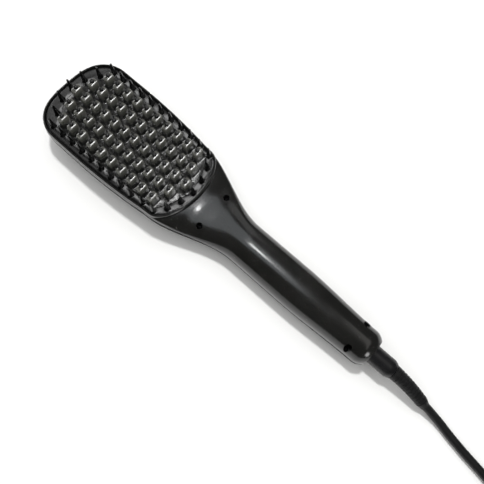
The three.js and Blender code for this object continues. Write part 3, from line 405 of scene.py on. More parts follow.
def strap_rings(extra, width):
    half_r, half_z = (tie_r1 - tie_r0) / 2, (tie_high - tie_low) / 2
    middle_r, middle_z = (tie_r1 + tie_r0) / 2, (tie_high + tie_low) / 2
    rings = []
    for across, inward in ((-0.5, 0.12), (-0.47, 0.0), (0.47, 0.0), (0.5, 0.12)):
        edge = rounded(half_r + extra - inward, half_z + extra - inward, 9.0, 96)
        rings.append([(COIL_X - middle_r - a, COIL_Y + across * width, middle_z + b) for a, b in edge])
    return rings


tie = loft("coil_tie", strap_rings(TIE_THICKNESS, TIE_WIDTH))
combine(tie, loft("tie_hole", strap_rings(0.0, TIE_WIDTH + 2)), "DIFFERENCE")
print("tie:", len(tie.data.polygons), "faces")

# %% [markdown]
# ## Outline of the two shells
# The housing is two mouldings that meet on a parting line. Seen from above, the handle is a narrow
# round bar, the neck flares, and the head is a broad tile with round corners. Each cross section is a
# superellipse: near a circle on the handle and near a rectangle on the head. The same formulas place
# the bristle field, so everything on the head follows its edge.

# %% Sizes of the housing
HANDLE, NECK, HEAD = 102.8, 62.0, 104.4
NECK_END = HANDLE + NECK
BODY = NECK_END + HEAD
END_CHAMFER, END_CHAMFER_DEPTH = 6.0, 2.6
END_HALF_WIDTH, GRIP_HALF_WIDTH, FLARE = 12.0, 14.2, 16.0
HEAD_SWELL, HEAD_SWELL_LENGTH, TIP_CORNER = 3.9, 59.0, 23.5
CORNER_X = BODY - TIP_CORNER
SEAM, WALL = 0.3, 2.2
print("housing:", BODY, "mm long")

# %% Width along the brush
def ease(x, x0, x1, a, b):
    return a + (b - a) * smooth((x - x0) / (x1 - x0))


def end_shrink(x):
    return END_CHAMFER_DEPTH * min(max(1 - x / END_CHAMFER, 0.0), 1.0) ** 2


def half_width(x, inset=0.0):
    handle = ease(x, END_CHAMFER, 0.6 * HANDLE, END_HALF_WIDTH, GRIP_HALF_WIDTH)
    flare = ease(x, HANDLE, NECK_END, 0, FLARE)
    along = min(max((x - NECK_END) / HEAD_SWELL_LENGTH, 0.0), 1.0)
    head = HEAD_SWELL * (1 - (1 - along) ** 2)
    tip = min(max((x - CORNER_X) / (TIP_CORNER + 0.15 - inset), 0.0), 1.0)
    return (handle + flare + head - end_shrink(x) - inset) * max(1 - tip ** 2, 0.0) ** (1 / 3)


print("the head is", round(2 * half_width(225), 1), "mm wide")

# %% Heights along the brush
HEAD_PARTING_Z, HEAD_FRONT_Z, NECK_VALLEY_Z = 21.5, 25.8, 24.4
END_HALF_HEIGHT, HANDLE_HALF_HEIGHT = 12.9, 13.5
BACK_ARCH_Z, NOSE_LENGTH = 2.6, 36.0


def parting_z(x):
    return ease(x, HANDLE, NECK_END, AXIS_Z, HEAD_PARTING_Z)


def front_z(x, inset=0.0):
    half_height = ease(x, END_CHAMFER, 0.6 * HANDLE, END_HALF_HEIGHT, HANDLE_HALF_HEIGHT)
    valley = ease(x, 0.97 * HANDLE, HANDLE + 0.4 * NECK, 0, NECK_VALLEY_Z - AXIS_Z - HANDLE_HALF_HEIGHT)
    curl = ease(x, NECK_END - 29, NECK_END - 13, 0, HEAD_FRONT_Z - NECK_VALLEY_Z)
    return AXIS_Z + half_height - end_shrink(x) + valley + curl - inset


def front_power(x):
    return ease(x, NECK_END - 28, NECK_END + 10, 2.3, 9)


def back_z(x, inset=0.0):
    handle_back = ease(x, 0.2 * HANDLE, 0.55 * HANDLE, -0.2, BACK_ARCH_Z)
    flat = handle_back - ease(x, 1.05 * HANDLE, NECK_END, 0, BACK_ARCH_Z + 0.8)
    rise = min(max((x - BODY + NOSE_LENGTH) / (NOSE_LENGTH - inset), 0.0), 1.0)
    low = flat + end_shrink(x) + inset
    return low + (parting_z(x) - SEAM - low) * (1 - math.sqrt(1 - rise * rise * 0.98))


print("height at the head's start:", front_z(NECK_END), "mm")

# %% [markdown]
# A half section runs over one shell from edge to edge. Its points lie closer together where the curve
# turns, so that the round corners of the head stay round and the flat parts cost few faces.

# %% Cross sections of a shell
TURN_WEIGHT = 6.0


def half_section(x, side, inset, lift, count):
    base = parting_z(x) + side * lift
    reach = front_z(x, inset) - base if side > 0 else base - back_z(x, inset)
    power = front_power(x) if side > 0 else ease(x, HANDLE, NECK_END, 2.3, 2.7)
    angle = np.linspace(0, np.pi, 1441)
    across = np.sign(np.cos(angle)) * np.abs(np.cos(angle)) ** (2 / power)
    over = np.abs(np.sin(angle)) ** (2 / power)
    curve = np.stack([half_width(x, inset) * across, base + side * reach * over], axis=1)
    steps = np.diff(curve, axis=0)
    turning = np.abs(np.diff(np.unwrap(np.arctan2(steps[:, 1], steps[:, 0])), prepend=0))
    turning[0] = 0
    measure = np.concatenate([[0], np.cumsum(np.linalg.norm(steps, axis=1) + TURN_WEIGHT * turning)])
    even = np.linspace(0, measure[-1], count + 1)
    return [(x, float(np.interp(m, measure, curve[:, 0])), float(np.interp(m, measure, curve[:, 1])))
            for m in even]


print("points over the handle:", len(half_section(50, 1, 0.0, 0.0, 96)))

# %% Shell and hollow
def stations(start, end, corner_end, fine):
    places = list(np.linspace(start, start + END_CHAMFER, fine)[:-1])
    places += list(np.linspace(start + END_CHAMFER, HANDLE, fine * 4)[:-1])
    places += list(np.linspace(HANDLE, NECK_END, fine * 4)[:-1])
    places += list(np.linspace(NECK_END, CORNER_X, fine * 3)[:-1])
    places += [CORNER_X + math.sin(s * math.pi / 2) * (corner_end - CORNER_X)
               for s in np.linspace(0, 1, fine * 3)]
    return [float(x) for x in places if x <= end]


def half_shell(name, side):
    rings = [half_section(x, side, 0.0, SEAM / 2, 96) for x in stations(0.0, BODY, BODY, 12)]
    return loft(name, rings)


def cavity():
    rings = []
    for x in stations(WALL + 0.4, BODY, BODY - WALL, 4):
        over = half_section(x, 1, WALL, 0.0, 20)
        under = half_section(x, -1, WALL, 0.0, 20)
        rings.append(over + under[::-1][1:-1])
    return loft("cavity", rings)


print("sections along a shell:", len(stations(0.0, BODY, BODY, 12)))

# %% [markdown]
# ## The bristle field's edge
# The lip, the ledge, the ring and the plate's flange all follow one closed line, each at its own
# distance. It is half an ellipse at the handle's side, follows the head's sides, and ends in the same
# round corners as the head.

# %% The edge of the bristle field
RIM_WIDTH, RIM_TOP_Z, RIM_END_ARC = 1.8, 27.6, 15.0
OPENING_START = NECK_END - 19.8
ARC_END = OPENING_START + RIM_END_ARC


def field_half_width(x, offset):
    start, tip_x = OPENING_START - offset, BODY - RIM_WIDTH + offset
    if x < ARC_END:
        side = half_width(ARC_END, RIM_WIDTH) + offset
        return side * math.sqrt(max(0.0, 1 - ((ARC_END - x) / (ARC_END - start)) ** 2))
    if x < CORNER_X:
        return half_width(x, RIM_WIDTH) + offset
    into = (x - CORNER_X) / (tip_x - CORNER_X)
    return (half_width(CORNER_X, RIM_WIDTH) + offset) * max(0.0, 1 - into ** 2) ** (1 / 3)


def field_edge(offset):
    start, tip_x = OPENING_START - offset, BODY - RIM_WIDTH + offset
    xs = [ARC_END - math.cos(s * math.pi / 2) * (ARC_END - start) for s in np.linspace(0, 1, 19)[1:]]
    xs += list(np.linspace(ARC_END, CORNER_X, 25)[1:])
    xs += [CORNER_X + math.sin(s * math.pi / 2) * (tip_x - CORNER_X)
           for s in np.linspace(0, 0.97, 22)[1:]]
    side = [(x, field_half_width(x, offset)) for x in xs]
    last_x, nose = side[-1]
    side += [(tip_x - (tip_x - last_x) * s * s, nose * s) for s in (0.66, 0.33)]
    return [(start, 0.0)] + side + [(tip_x, 0.0)] + [(x, -y) for x, y in reversed(side)]


def field_piece(name, levels):
    return loft(name, [[(x, y, z) for x, y in field_edge(offset)] for offset, z in levels])


print("points round the field:", len(field_edge(0)))

# %% [markdown]
# ## Front shell
# The front shell carries the raised lip round the bristles, a ledge that the bristle ring sits on, and
# the deep counterbores of four screws. It is built in the order in which a mould is cut: the outer
# form, the hollow, then bosses, rib and ledge, and the openings last.

# %% Screw places and the swivel's seat
SCREWS = {
    "shell_screw_neck_left": (HANDLE + 28.2, 12.8),
    "shell_screw_neck_right": (HANDLE + 28.2, -12.8),
    "shell_screw_end_left": (13.3, 9.4),
    "shell_screw_end_right": (13.3, -9.4),
}
HEAD_RADIUS, SHANK_RADIUS, SHANK_LENGTH, SHOULDER = 1.9, 0.9, 8.0, 2.2
BOSS_WALL, BOSS_LENGTH = 1.5, 20
BARREL_RADIUS, SPINDLE_RADIUS, FLANGE_WIDTH, RUNNING_GAP = 6.2, 3.2, 2.0, 0.4
FLANGE_START = WALL + RUNNING_GAP + GAP
RIB_START = FLANGE_START + FLANGE_WIDTH + GAP
RIB_END = RIB_START + 1.4
SKIN, RIB_SKIN = 0.8, 1.2  # how far bosses and rib stay behind the outer face
print("the swivel's rib is at x =", round(RIB_START, 2), "to", round(RIB_END, 2))

# %% Bosses, screw holes and the swivel's seat
def inner_half(side):
    rings = [half_section(x, side, SKIN, 0.0, 60) for x in stations(1.0, NECK_END, BODY, 8)]
    return loft("inner", rings)


def shell_bosses(side):
    posts = []
    for x, y in SCREWS.values():
        ends = sorted((parting_z(x) + side * SEAM / 2, parting_z(x) + side * BOSS_LENGTH))
        posts.append(turned_z(x, y, [(HEAD_RADIUS + BOSS_WALL, end) for end in ends]))
    return combine(several("bosses", posts), inner_half(side), "INTERSECT")


def screw_holes():
    holes = []
    for x, y in SCREWS.values():
        shoulder = parting_z(x) + SHOULDER
        holes.append(turned_z(x, y, [
            (SHANK_RADIUS + GAP, shoulder - SHANK_LENGTH - GAP), (SHANK_RADIUS + GAP, shoulder),
            (HEAD_RADIUS + 0.3, shoulder + 0.01), (HEAD_RADIUS + 0.3, front_z(x) + 3)], 32))
    return holes


def swivel_seat():
    profile = [(BARREL_RADIUS + RUNNING_GAP, -1), (BARREL_RADIUS + RUNNING_GAP, WALL + 0.5),
               (SPINDLE_RADIUS + RUNNING_GAP, WALL + 0.51), (SPINDLE_RADIUS + RUNNING_GAP, RIB_END + 1)]
    return loft("swivel_seat", turned_x(0, AXIS_Z, profile))


def swivel_rib(side):
    rings = [half_section(x, side, RIB_SKIN, SEAM / 2, 36) for x in (RIB_START, RIB_END)]
    return loft("swivel_rib", rings)


print("screws:", sorted(SCREWS))

# %% Front shell
front_shell = half_shell("front_cover", 1)
combine(front_shell, cavity(), "DIFFERENCE")
combine(front_shell, swivel_rib(1), "UNION")
combine(front_shell, shell_bosses(1), "UNION")
rim_foot = HEAD_PARTING_Z + SEAM / 2 + 0.03
lip = field_piece("lip", [
    (0.4, rim_foot), (1.5, 24.2), (1.5, 25.6), (1.46, 26.3), (1.33, 26.85), (1.1, 27.25),
    (0.8, 27.5), (0.5, RIM_TOP_Z)])
combine(front_shell, lip, "UNION")
ledge_top = rim_foot + 1.9
opening = field_piece("opening", [
    (0, ledge_top), (0, 26.9), (0.07, 27.25), (0.22, 27.5), (0.45, RIM_TOP_Z + 0.02), (0.45, 28.6)])
combine(front_shell, opening, "DIFFERENCE")
combine(front_shell, field_piece("inner_opening", [(-2.0, 20.0), (-2.0, 24.6)]), "DIFFERENCE")
combine(front_shell, several("screw_holes", screw_holes()), "DIFFERENCE")
combine(front_shell, swivel_seat(), "DIFFERENCE")
print("front cover:", len(front_shell.data.polygons), "faces")

# %% [markdown]
# ## Rear shell
# The rear shell lies on the table. It holds the openings for three buttons and the display window,
# posts that press the heater up, pillars for the control board and the seat of the sliding contacts.
# Those inner parts are plain in the real moulding too, so they are simple blocks and rods.

# %% Places on and in the rear shell
BUTTONS = {"power_button": HANDLE - 60, "minus_button": HANDLE - 44, "plus_button": HANDLE - 30}
BUTTON_RADIUS, BUTTON_PROUD, BUTTON_FLANGE = 4.6, 0.7, 1.0
LENS_X, LENS_LENGTH, LENS_WIDTH, LENS_LIP = HANDLE - 6, 22.0, 12.0, 0.8
TOOTH_PITCH, COLUMN_PITCH, TOOTH_COUNTS = 9.15, 10.3, (10, 11, 12, 11, 10)
FIRST_TOOTH_X = BODY - 14.7
FIELD_MIDDLE_X = FIRST_TOOTH_X - TOOTH_PITCH * 11 / 2
PLATE_TOP_Z, PLATE_BOTTOM_Z, PLATE_HALF_WIDTH = 26.6, 21.8, 24.8
PLATE_FLANGE, FLANGE_OFFSET = 3.0, -2.6
HEATER_TOP_Z = PLATE_BOTTOM_Z - GAP
BOARD_START, BOARD_END, BOARD_BACK_Z = 26.0, HANDLE + 8, 9.6
CONTACT_X, CONTACT_LENGTH, CONTACT_DROP, POST_PITCH = RIB_END + GAP, 6.4, 8.4, 30
print("teeth in the longest column:", max(TOOTH_COUNTS))

# %% Posts, pillars and the contacts' seat
def inner_blocks():
    blocks = []
    for k in (-1, 0, 1):
        x = FIELD_MIDDLE_X + k * POST_PITCH
        edge = min(PLATE_HALF_WIDTH + PLATE_FLANGE, field_half_width(x, FLANGE_OFFSET)) - GAP
        blocks += [slab(x - 1.2, x + 1.2, *sorted((s * edge, s * (edge - 2))), 0, HEATER_TOP_Z)
                   for s in (1, -1)]
    for x in (BOARD_START + 4, BOARD_END - 4):
        blocks += [slab(x - 1.5, x + 1.5, s * 6 - 1.5, s * 6 + 1.5, 0, BOARD_BACK_Z - GAP)
                   for s in (1, -1)]
    blocks.append(slab(CONTACT_X, CONTACT_X + CONTACT_LENGTH, -3.6, 3.6, 0, AXIS_Z - CONTACT_DROP))
    return combine(several("blocks", blocks), inner_half(-1), "INTERSECT")


print("the board lies from x =", BOARD_START, "to", BOARD_END)

# %% Rear shell
rear_shell = half_shell("rear_cover", -1)
combine(rear_shell, cavity(), "DIFFERENCE")
combine(rear_shell, swivel_rib(-1), "UNION")
combine(rear_shell, inner_blocks(), "UNION")
combine(rear_shell, shell_bosses(-1), "UNION")
combine(rear_shell, several("screw_holes", screw_holes()), "DIFFERENCE")
combine(rear_shell, swivel_seat(), "DIFFERENCE")
print("rear cover:", len(rear_shell.data.polygons), "faces")

# %% Button holes
mouth = BACK_ARCH_Z + WALL
button_holes = []
for x in BUTTONS.values():
    button_holes.append(turned_z(x, 0, [
        (BUTTON_RADIUS + 1.5, -1), (BUTTON_RADIUS + 1.5, BACK_ARCH_Z - 0.05),
        (BUTTON_RADIUS + GAP, BACK_ARCH_Z + 0.55), (BUTTON_RADIUS + GAP, mouth),
        (BUTTON_RADIUS + BUTTON_FLANGE + GAP, mouth + 0.01),
        (BUTTON_RADIUS + BUTTON_FLANGE + GAP, AXIS_Z - 4)], 48))
combine(rear_shell, several("button_holes", button_holes), "DIFFERENCE")
print("button holes:", len(button_holes))

# %% Window hole and a flat underside
def window(grow, power=10.0):
    return rounded(LENS_LENGTH / 2 + grow, LENS_WIDTH / 2 + grow, power, 64)


window_levels = [(1.2, -1), (1.2, BACK_ARCH_Z - 0.1), (GAP, BACK_ARCH_Z + 0.5), (GAP, mouth),
                 (LENS_LIP + GAP, mouth + 0.01), (LENS_LIP + GAP, AXIS_Z - 4)]
window_hole = loft("window_hole", [
    [(LENS_X + a, b, z) for a, b in window(grow)] for grow, z in window_levels])
combine(rear_shell, window_hole, "DIFFERENCE")
floor_cut = loft("floor_cut", slab(-2, BODY + 2, -50, 50, -5, 0))
combine(rear_shell, floor_cut, "DIFFERENCE")
print("rear cover with its openings:", len(rear_shell.data.polygons), "faces")

# %% [markdown]
# ## Heated plate
# The plate is one aluminium casting with 54 hollow teeth, coated dark grey. A cast tooth has a small
# fillet at its foot, a slight draft, and a soft shoulder at its top that catches a bright bar of
# light. The columns are set half a tooth apart from each other, so hair meets the teeth in turn.

# %% Tooth places
def column_teeth(column):
    y = (2 - column) * COLUMN_PITCH
    return [(FIRST_TOOTH_X - TOOTH_PITCH * (k + abs(column - 2) / 2), y)
            for k in range(TOOTH_COUNTS[column])]


TEETH = [spot for column in range(5) for spot in column_teeth(column)]
print("teeth:", len(TEETH))

# %% One tooth
SHOULDER_HEIGHT, TOP_RIDGE = 1.3, 0.6
TOOTH_TOP_Z = PLATE_TOP_Z + 9.4
SHOULDER_Z = TOOTH_TOP_Z - SHOULDER_HEIGHT
FOOT_HALF_LENGTH, FOOT_HALF_WIDTH, DRAFT_LENGTH, DRAFT_WIDTH = 2.8, 3.9, 0.65, 0.55
FILLET = ((26.1, 1.0), (26.6, 1.0), (26.68, 0.62), (26.85, 0.34), (27.15, 0.13), (27.6, 0.0))


def tooth_rings(x, y):
    sizes = []
    for z, foot in FILLET + ((29.5, 0.0), (32.0, 0.0), (SHOULDER_Z, 0.0)):
        share = (z - PLATE_TOP_Z) / (SHOULDER_Z - PLATE_TOP_Z)
        sizes.append((FOOT_HALF_LENGTH - DRAFT_LENGTH * share + foot,
                      FOOT_HALF_WIDTH - DRAFT_WIDTH * share + foot, z))
    for turn in (14, 28, 40, 50, 59, 68, 78, 86):
        a = math.radians(turn)
        sizes.append((2.15 * math.cos(a), TOP_RIDGE + 2.75 * math.cos(a),
                      SHOULDER_Z + SHOULDER_HEIGHT * math.sin(a)))
    return [[(x + a, y + b, z) for a, b in rounded(la, wa, 4.6, 32)] for la, wa, z in sizes]


print("a tooth stands", round(TOOTH_TOP_Z - PLATE_TOP_Z, 1), "mm above the plate")

# %% The plate's edge
START_ARC, TIP_ARC = 9.6, 12


def plate_edge(offset, fine=14):
    half = PLATE_HALF_WIDTH + offset
    start_x = FIRST_TOOTH_X - TOOTH_PITCH * 11 - 3.3 - offset
    tip_x = FIRST_TOOTH_X + 4.8 + offset
    shares = np.linspace(0, 1, fine)
    start = [(start_x + START_ARC * s * s, half * s) for s in shares]
    tip = [(tip_x - TIP_ARC * max(0.0, (s - 0.24) / 0.76) ** 1.5, half * s) for s in shares]
    outer = start + tip[::-1]
    return [(float(x), float(y)) for x, y in outer + [(x, -y) for x, y in outer[1:-1]][::-1]]


def plate_piece(name, levels):
    return loft(name, [[(x, y, z) for x, y in plate_edge(offset)] for offset, z in levels])


print("points round the plate:", len(plate_edge(0)))

# %% Plate with its teeth
SOCKET_RADIUS, TAP_RADIUS = 1.42, 1.2
plate = plate_piece("heated_plate", [
    (0, PLATE_BOTTOM_Z), (0, 26.48), (-0.04, 26.57), (-0.12, PLATE_TOP_Z)])
flange = plate_piece("flange", [(PLATE_FLANGE, z) for z in (PLATE_BOTTOM_Z, PLATE_BOTTOM_Z + 1.9)])
combine(flange, field_piece("flange_limit", [(FLANGE_OFFSET, 20), (FLANGE_OFFSET, 27)]), "INTERSECT")
combine(plate, flange, "UNION")
combine(plate, several("teeth", [tooth_rings(x, y) for x, y in TEETH]), "UNION")
sockets = [turned_z(x, y, [(SOCKET_RADIUS, 20), (SOCKET_RADIUS, TOOTH_TOP_Z + 2)]) for x, y in TEETH]
combine(plate, several("sockets", sockets), "DIFFERENCE")
clamp_places = [(FIELD_MIDDLE_X + e * 26, s * 1.5 * COLUMN_PITCH) for e in (1, -1) for s in (1, -1)]
taps = [turned_z(x, y, [(TAP_RADIUS, 20), (TAP_RADIUS, PLATE_TOP_Z - 1)], 16) for x, y in clamp_places]
combine(plate, several("taps", taps), "DIFFERENCE")
print("heated plate:", len(plate.data.polygons), "faces")

# %% [markdown]
# ## Tip combs
# Under each column lies a comb of heat-proof plastic whose pins come up through the hollow teeth and
# end in a bead. The beads keep the hot metal off the scalp. A pin is a turned profile with a neck and
# a dome, and the pins of a column are joined to their bar.

# %% A pin with its bead
BEAD_TOP_Z, BEAD_RADIUS, BEAD_HEIGHT, PIN_NECK = TOOTH_TOP_Z + 2.2, 1.32, 1.15, 1.2


def pin_rings(x, y):
    profile = [(PIN_NECK, HEATER_TOP_Z - 0.4), (PIN_NECK, TOOTH_TOP_Z + 0.5)]
    for turn in (-12, 8, 26, 42, 58, 74, 86):
        a = math.radians(turn)
        profile.append((BEAD_RADIUS * math.cos(a), BEAD_TOP_Z - BEAD_HEIGHT + BEAD_HEIGHT * math.sin(a)))
    return turned_z(x, y, profile, 20)


print("beads end at", BEAD_TOP_Z, "mm")

# %% Tip combs
BAR_HALF_WIDTH, BAR_HALF_THICK = 1.7, 0.65
combs = []
for column in range(5):
    teeth = column_teeth(column)
    x0, x1, y = teeth[-1][0] - 3, teeth[0][0] + 3, teeth[0][1]
    bar_z = HEATER_TOP_Z - BAR_HALF_THICK
    bar = loft(f"comb_{column + 1}", [
        [(x, y + a * s, bar_z + b * s) for a, b in rounded(BAR_HALF_WIDTH, BAR_HALF_THICK, 5, 20)]
        for x, s in ((x0, 0.85), (x0 + 0.3, 1.0), (x1 - 0.3, 1.0), (x1, 0.85))])
    combs.append(combine(bar, several("pins", [pin_rings(*spot) for spot in teeth]), "UNION"))
print("combs:", [comb.name for comb in combs])

# %% [markdown]
# ## Ring of cool bristles
# Round the plate lies a black ring with 32 tapered bristles. They stay cool and hold the hair in the
# field. A bristle is turned with a soft foot and a rounded tip, because a sharp cone would look and
# feel wrong.

# %% Bristle places
def bristle_places():
    spots = []
    for k in range(11):
        x = FIRST_TOOTH_X - TOOTH_PITCH * (k + 0.5)
        y = min(27.8, half_width(x) - 3.85)
        spots += [(x, y), (x, -y)]
    tip_x, start_x = BODY - 6.7, OPENING_START + 2.9
    spots += [(tip_x, 0.0), (start_x, 0.0)]
    for s in (1, -1):
        spots += [(tip_x - 1.7, s * 10.2), (tip_x - 7.3, s * 19.5)]
        spots += [(start_x + 1.7, s * 9.6), (start_x + 5.1, s * 18.6)]
    return spots


print("cool bristles:", len(bristle_places()))

# %% Cool ring
BRISTLE_PROFILE = [
    (2.4, 26.0), (2.4, 26.58), (2.15, 26.64), (1.97, 26.78), (1.84, 27.05), (1.74, 27.5), (1.4, 30.5),
    (1.07, 33.5), (0.82, 35.9), (0.76, 36.5), (0.62, 36.92), (0.38, 37.13), (0.1, 37.2)]
ring = field_piece("cool_ring", [
    (-GAP, 24.0), (-GAP, 26.0), (-0.36, 26.16), (-0.52, 26.3), (-0.85, 26.43), (-1.4, 26.53), (-2.2, 26.6)])
hole = plate_piece("ring_hole", [(0.2, 23.0), (0.2, 26.48), (0.24, 26.56), (0.32, 26.61), (0.32, 28.0)])
combine(ring, hole, "DIFFERENCE")
bristles = [turned_z(x, y, BRISTLE_PROFILE) for x, y in bristle_places()]
combine(ring, several("bristles", bristles), "UNION")
print("cool ring:", len(ring.data.polygons), "faces")

# %% [markdown]
# ## Buttons and display window
# The controls face the table: three round keys with raised signs for power, less and more, and a
# smoked window over the temperature display. The signs are the plain ones that any such device has.
# Each key is turned, with a dished top, and its sign is a raised shape joined to it.

# %% Shapes of a key and its signs
CAP_Z = BACK_ARCH_Z - BUTTON_PROUD
CAP_INNER_Z = BACK_ARCH_Z + WALL + GAP
SIGN_LONG, SIGN_THIN, ARC_OUTER, ARC_INNER = 1.9, 0.3, 1.95, 1.45


def key_rings(x):
    flange = BUTTON_RADIUS + BUTTON_FLANGE * 0.8
    profile = [(0.3, CAP_Z + 0.35), (1.6, CAP_Z + 0.3), (2.9, CAP_Z + 0.12), (3.7, CAP_Z),
               (4.15, CAP_Z + 0.06), (4.45, CAP_Z + 0.28), (BUTTON_RADIUS, CAP_Z + 0.75),
               (BUTTON_RADIUS, CAP_INNER_Z), (flange, CAP_INNER_Z + 0.01), (flange, CAP_INNER_Z + 0.8)]
    return turned_z(x, 0, profile, 48)


def bar_sign(x, half_x, half_y):
    return [[(x + a * s, b * s, z) for a, b in rounded(half_x, half_y, 6, 24)]
            for s, z in ((0.86, CAP_Z + 0.06), (1.0, CAP_Z + 0.16), (1.0, CAP_Z + 0.7))]


def power_sign(x):
    arc = [math.radians(a) for a in range(-145, 146, 10)]
    outline = [(x + ARC_OUTER * math.cos(a), ARC_OUTER * math.sin(a)) for a in arc]
    outline += [(x + ARC_INNER * math.cos(a), ARC_INNER * math.sin(a)) for a in reversed(arc)]
    return [[(a, b, z) for a, b in outline] for z in (CAP_Z + 0.1, CAP_Z + 0.7)]


print("the keys stand", BUTTON_PROUD, "mm proud")

# %% Keys
buttons = {}
for name, x in BUTTONS.items():
    key = loft(name.replace("button", "key"), key_rings(x))
    if name == "power_button":
        combine(key, loft("sign", power_sign(x)), "UNION")
        combine(key, loft("sign", bar_sign(x - 1.3, 1.0, 0.27)), "UNION")
    else:
        combine(key, loft("sign", bar_sign(x, SIGN_THIN, SIGN_LONG)), "UNION")
    if name == "plus_button":
        combine(key, loft("sign", bar_sign(x, SIGN_LONG, SIGN_THIN)), "UNION")
    buttons[name] = key
print("keys:", sorted(buttons))

# %% Display window
lens_face = BACK_ARCH_Z + 0.4
lens_levels = [(-0.45, lens_face), (-0.18, lens_face + 0.08), (0.0, lens_face + 0.35), (0.0, CAP_INNER_Z),
               (LENS_LIP, CAP_INNER_Z + 0.01), (LENS_LIP, CAP_INNER_Z + 0.9)]
lens = loft("display_window", [[(LENS_X + a, b, z) for a, b in window(grow)] for grow, z in lens_levels])
print("window:", len(lens.data.polygons), "faces")

# %% [markdown]
# ## Swivel and strain relief
# The lead turns freely on a barrel that sticks out of the handle, and behind it a ribbed sleeve of
# soft plastic keeps the lead from kinking. The barrel turns with the swivel. The sleeve rides on no
# body and stays where it is built. It goes on a little over the lead's start, so that no slit shows
# between them from the side.

# %% Barrel
FLANGE_RADIUS, SPINDLE_LENGTH = 7.4, 13.0
nose = ((4.2, 0.1), (4.75, 0.0), (4.95, 0.1), (5.12, 0.4), (5.85, 2.2), (6.12, 3.0), (BARREL_RADIUS, 3.8))
barrel_profile = [(radius, x - BARREL_LENGTH) for radius, x in nose] + [
    (BARREL_RADIUS, FLANGE_START), (FLANGE_RADIUS, FLANGE_START + 0.01),
    (FLANGE_RADIUS, FLANGE_START + FLANGE_WIDTH), (SPINDLE_RADIUS, FLANGE_START + FLANGE_WIDTH + 0.01),
    (SPINDLE_RADIUS, FLANGE_START + 12.8), (SPINDLE_RADIUS - 0.3, FLANGE_START + SPINDLE_LENGTH)]
barrel = loft("barrel", turned_x(0, AXIS_Z, barrel_profile, 64))
print("barrel:", len(barrel.data.polygons), "faces")

# %% Strain relief
RELIEF_RADIUS, RELIEF_END_RADIUS, MOUTH_RADIUS, RELIEF_REACH = 4.8, 3.9, CORD_RADIUS + 0.35, 1.08
RIBS, RIB_DEPTH, FIRST_RIB, LAST_RIB = 10, 0.38, 0.1, 0.86


def relief_radius(t):
    if t < LAST_RIB:
        body = RELIEF_RADIUS + (RELIEF_END_RADIUS - RELIEF_RADIUS) * t / LAST_RIB
    else:
        body = RELIEF_END_RADIUS + (MOUTH_RADIUS - RELIEF_END_RADIUS) * smooth((t - LAST_RIB) / 0.14)
    rib = (t - FIRST_RIB) / (LAST_RIB - FIRST_RIB) * RIBS
    if 0 < rib < RIBS:
        into = min(rib % 1, 1 - rib % 1)
        body -= RIB_DEPTH * smooth((0.3 - into) / 0.13)
    return body


relief_line = np.array([relief_point(t) for t in np.linspace(0, RELIEF_REACH, 195)])
relief = loft("strain_relief_sleeve", tube_rings(relief_line, relief_radius, 32))
print("relief:", len(relief.data.polygons), "faces")

# %% [markdown]
# ## Screws
# Four self-tapping screws sit deep in the counterbores, with a cross slot. A turned head and shank
# with a cross cut into the head reads as a screw even at the bottom of a dark hole.

# %% Shell screws
CORE_RADIUS, THREAD_STEP, SLOT_LONG, SLOT_THIN = 0.68, 0.45, 1.15, 0.24
SCREW_HEAD = ((0.8, -0.3), (SHANK_RADIUS, 0.0), (1.85, 0.01), (HEAD_RADIUS, 0.2), (1.82, 0.8),
              (1.5, 1.25), (0.9, 1.52), (0.2, 1.6))


def screw(name, x, y):
    seat = parting_z(x) + SHOULDER + GAP
    profile = [(0.15, seat - SHANK_LENGTH), (0.5, seat - SHANK_LENGTH + 0.9)]
    thread = np.arange(seat - SHANK_LENGTH + 1.2, seat - 0.8, THREAD_STEP)
    profile += [(SHANK_RADIUS if k % 2 else CORE_RADIUS, float(z)) for k, z in enumerate(thread)]
    profile += [(radius, seat + z) for radius, z in SCREW_HEAD]
    piece = loft(name, turned_z(x, y, profile, 28))
    for half_x, half_y in ((SLOT_LONG, SLOT_THIN), (SLOT_THIN, SLOT_LONG)):
        cross = slab(x - half_x, x + half_x, y - half_y, y + half_y, seat + 0.7, seat + 2)
        combine(piece, loft("cross", cross), "DIFFERENCE")
    return piece


screws = {name: screw(name.replace("shell_screw", "screw"), x, y) for name, (x, y) in SCREWS.items()}
print("screws:", len(screws))

# %% [markdown]
# ## Materials
# One function turns a hex colour into Blender's linear colour, and one adds a shader node with its
# settings and links. A finish starts from what the real part is made of. Anything that is the same
# all over goes straight on the shader's own socket, and only what varies is wired: a grain that
# raises the surface, and a slow haze that shifts gloss and colour a little, as moulding and handling
# do. The grain of a mould is near a tenth of a millimetre, too fine to show here, so each grain below
# is drawn three to ten times as coarse as the real one.

# %% Colours and nodes
def linear(code):
    channels = [int(code[i:i + 2], 16) / 255 for i in (1, 3, 5)]
    return tuple(c / 12.92 if c <= 0.04045 else ((c + 0.055) / 1.055) ** 2.4 for c in channels) + (1.0,)


def add_node(tree, kind, links=None, **settings):
    node = tree.nodes.new(kind)
    for key, value in settings.items():
        if hasattr(node, key):
            setattr(node, key, value)
        else:
            node.inputs[key.replace("_", " ")].default_value = value
    for socket, source in (links or {}).items():
        tree.links.new(source, node.inputs[socket])
    return node


def scale_for(size_mm):
    return 1 / (size_mm * MM)


print("white is", linear("#ffffff"), "and a 1 mm grain has scale", scale_for(1.0))

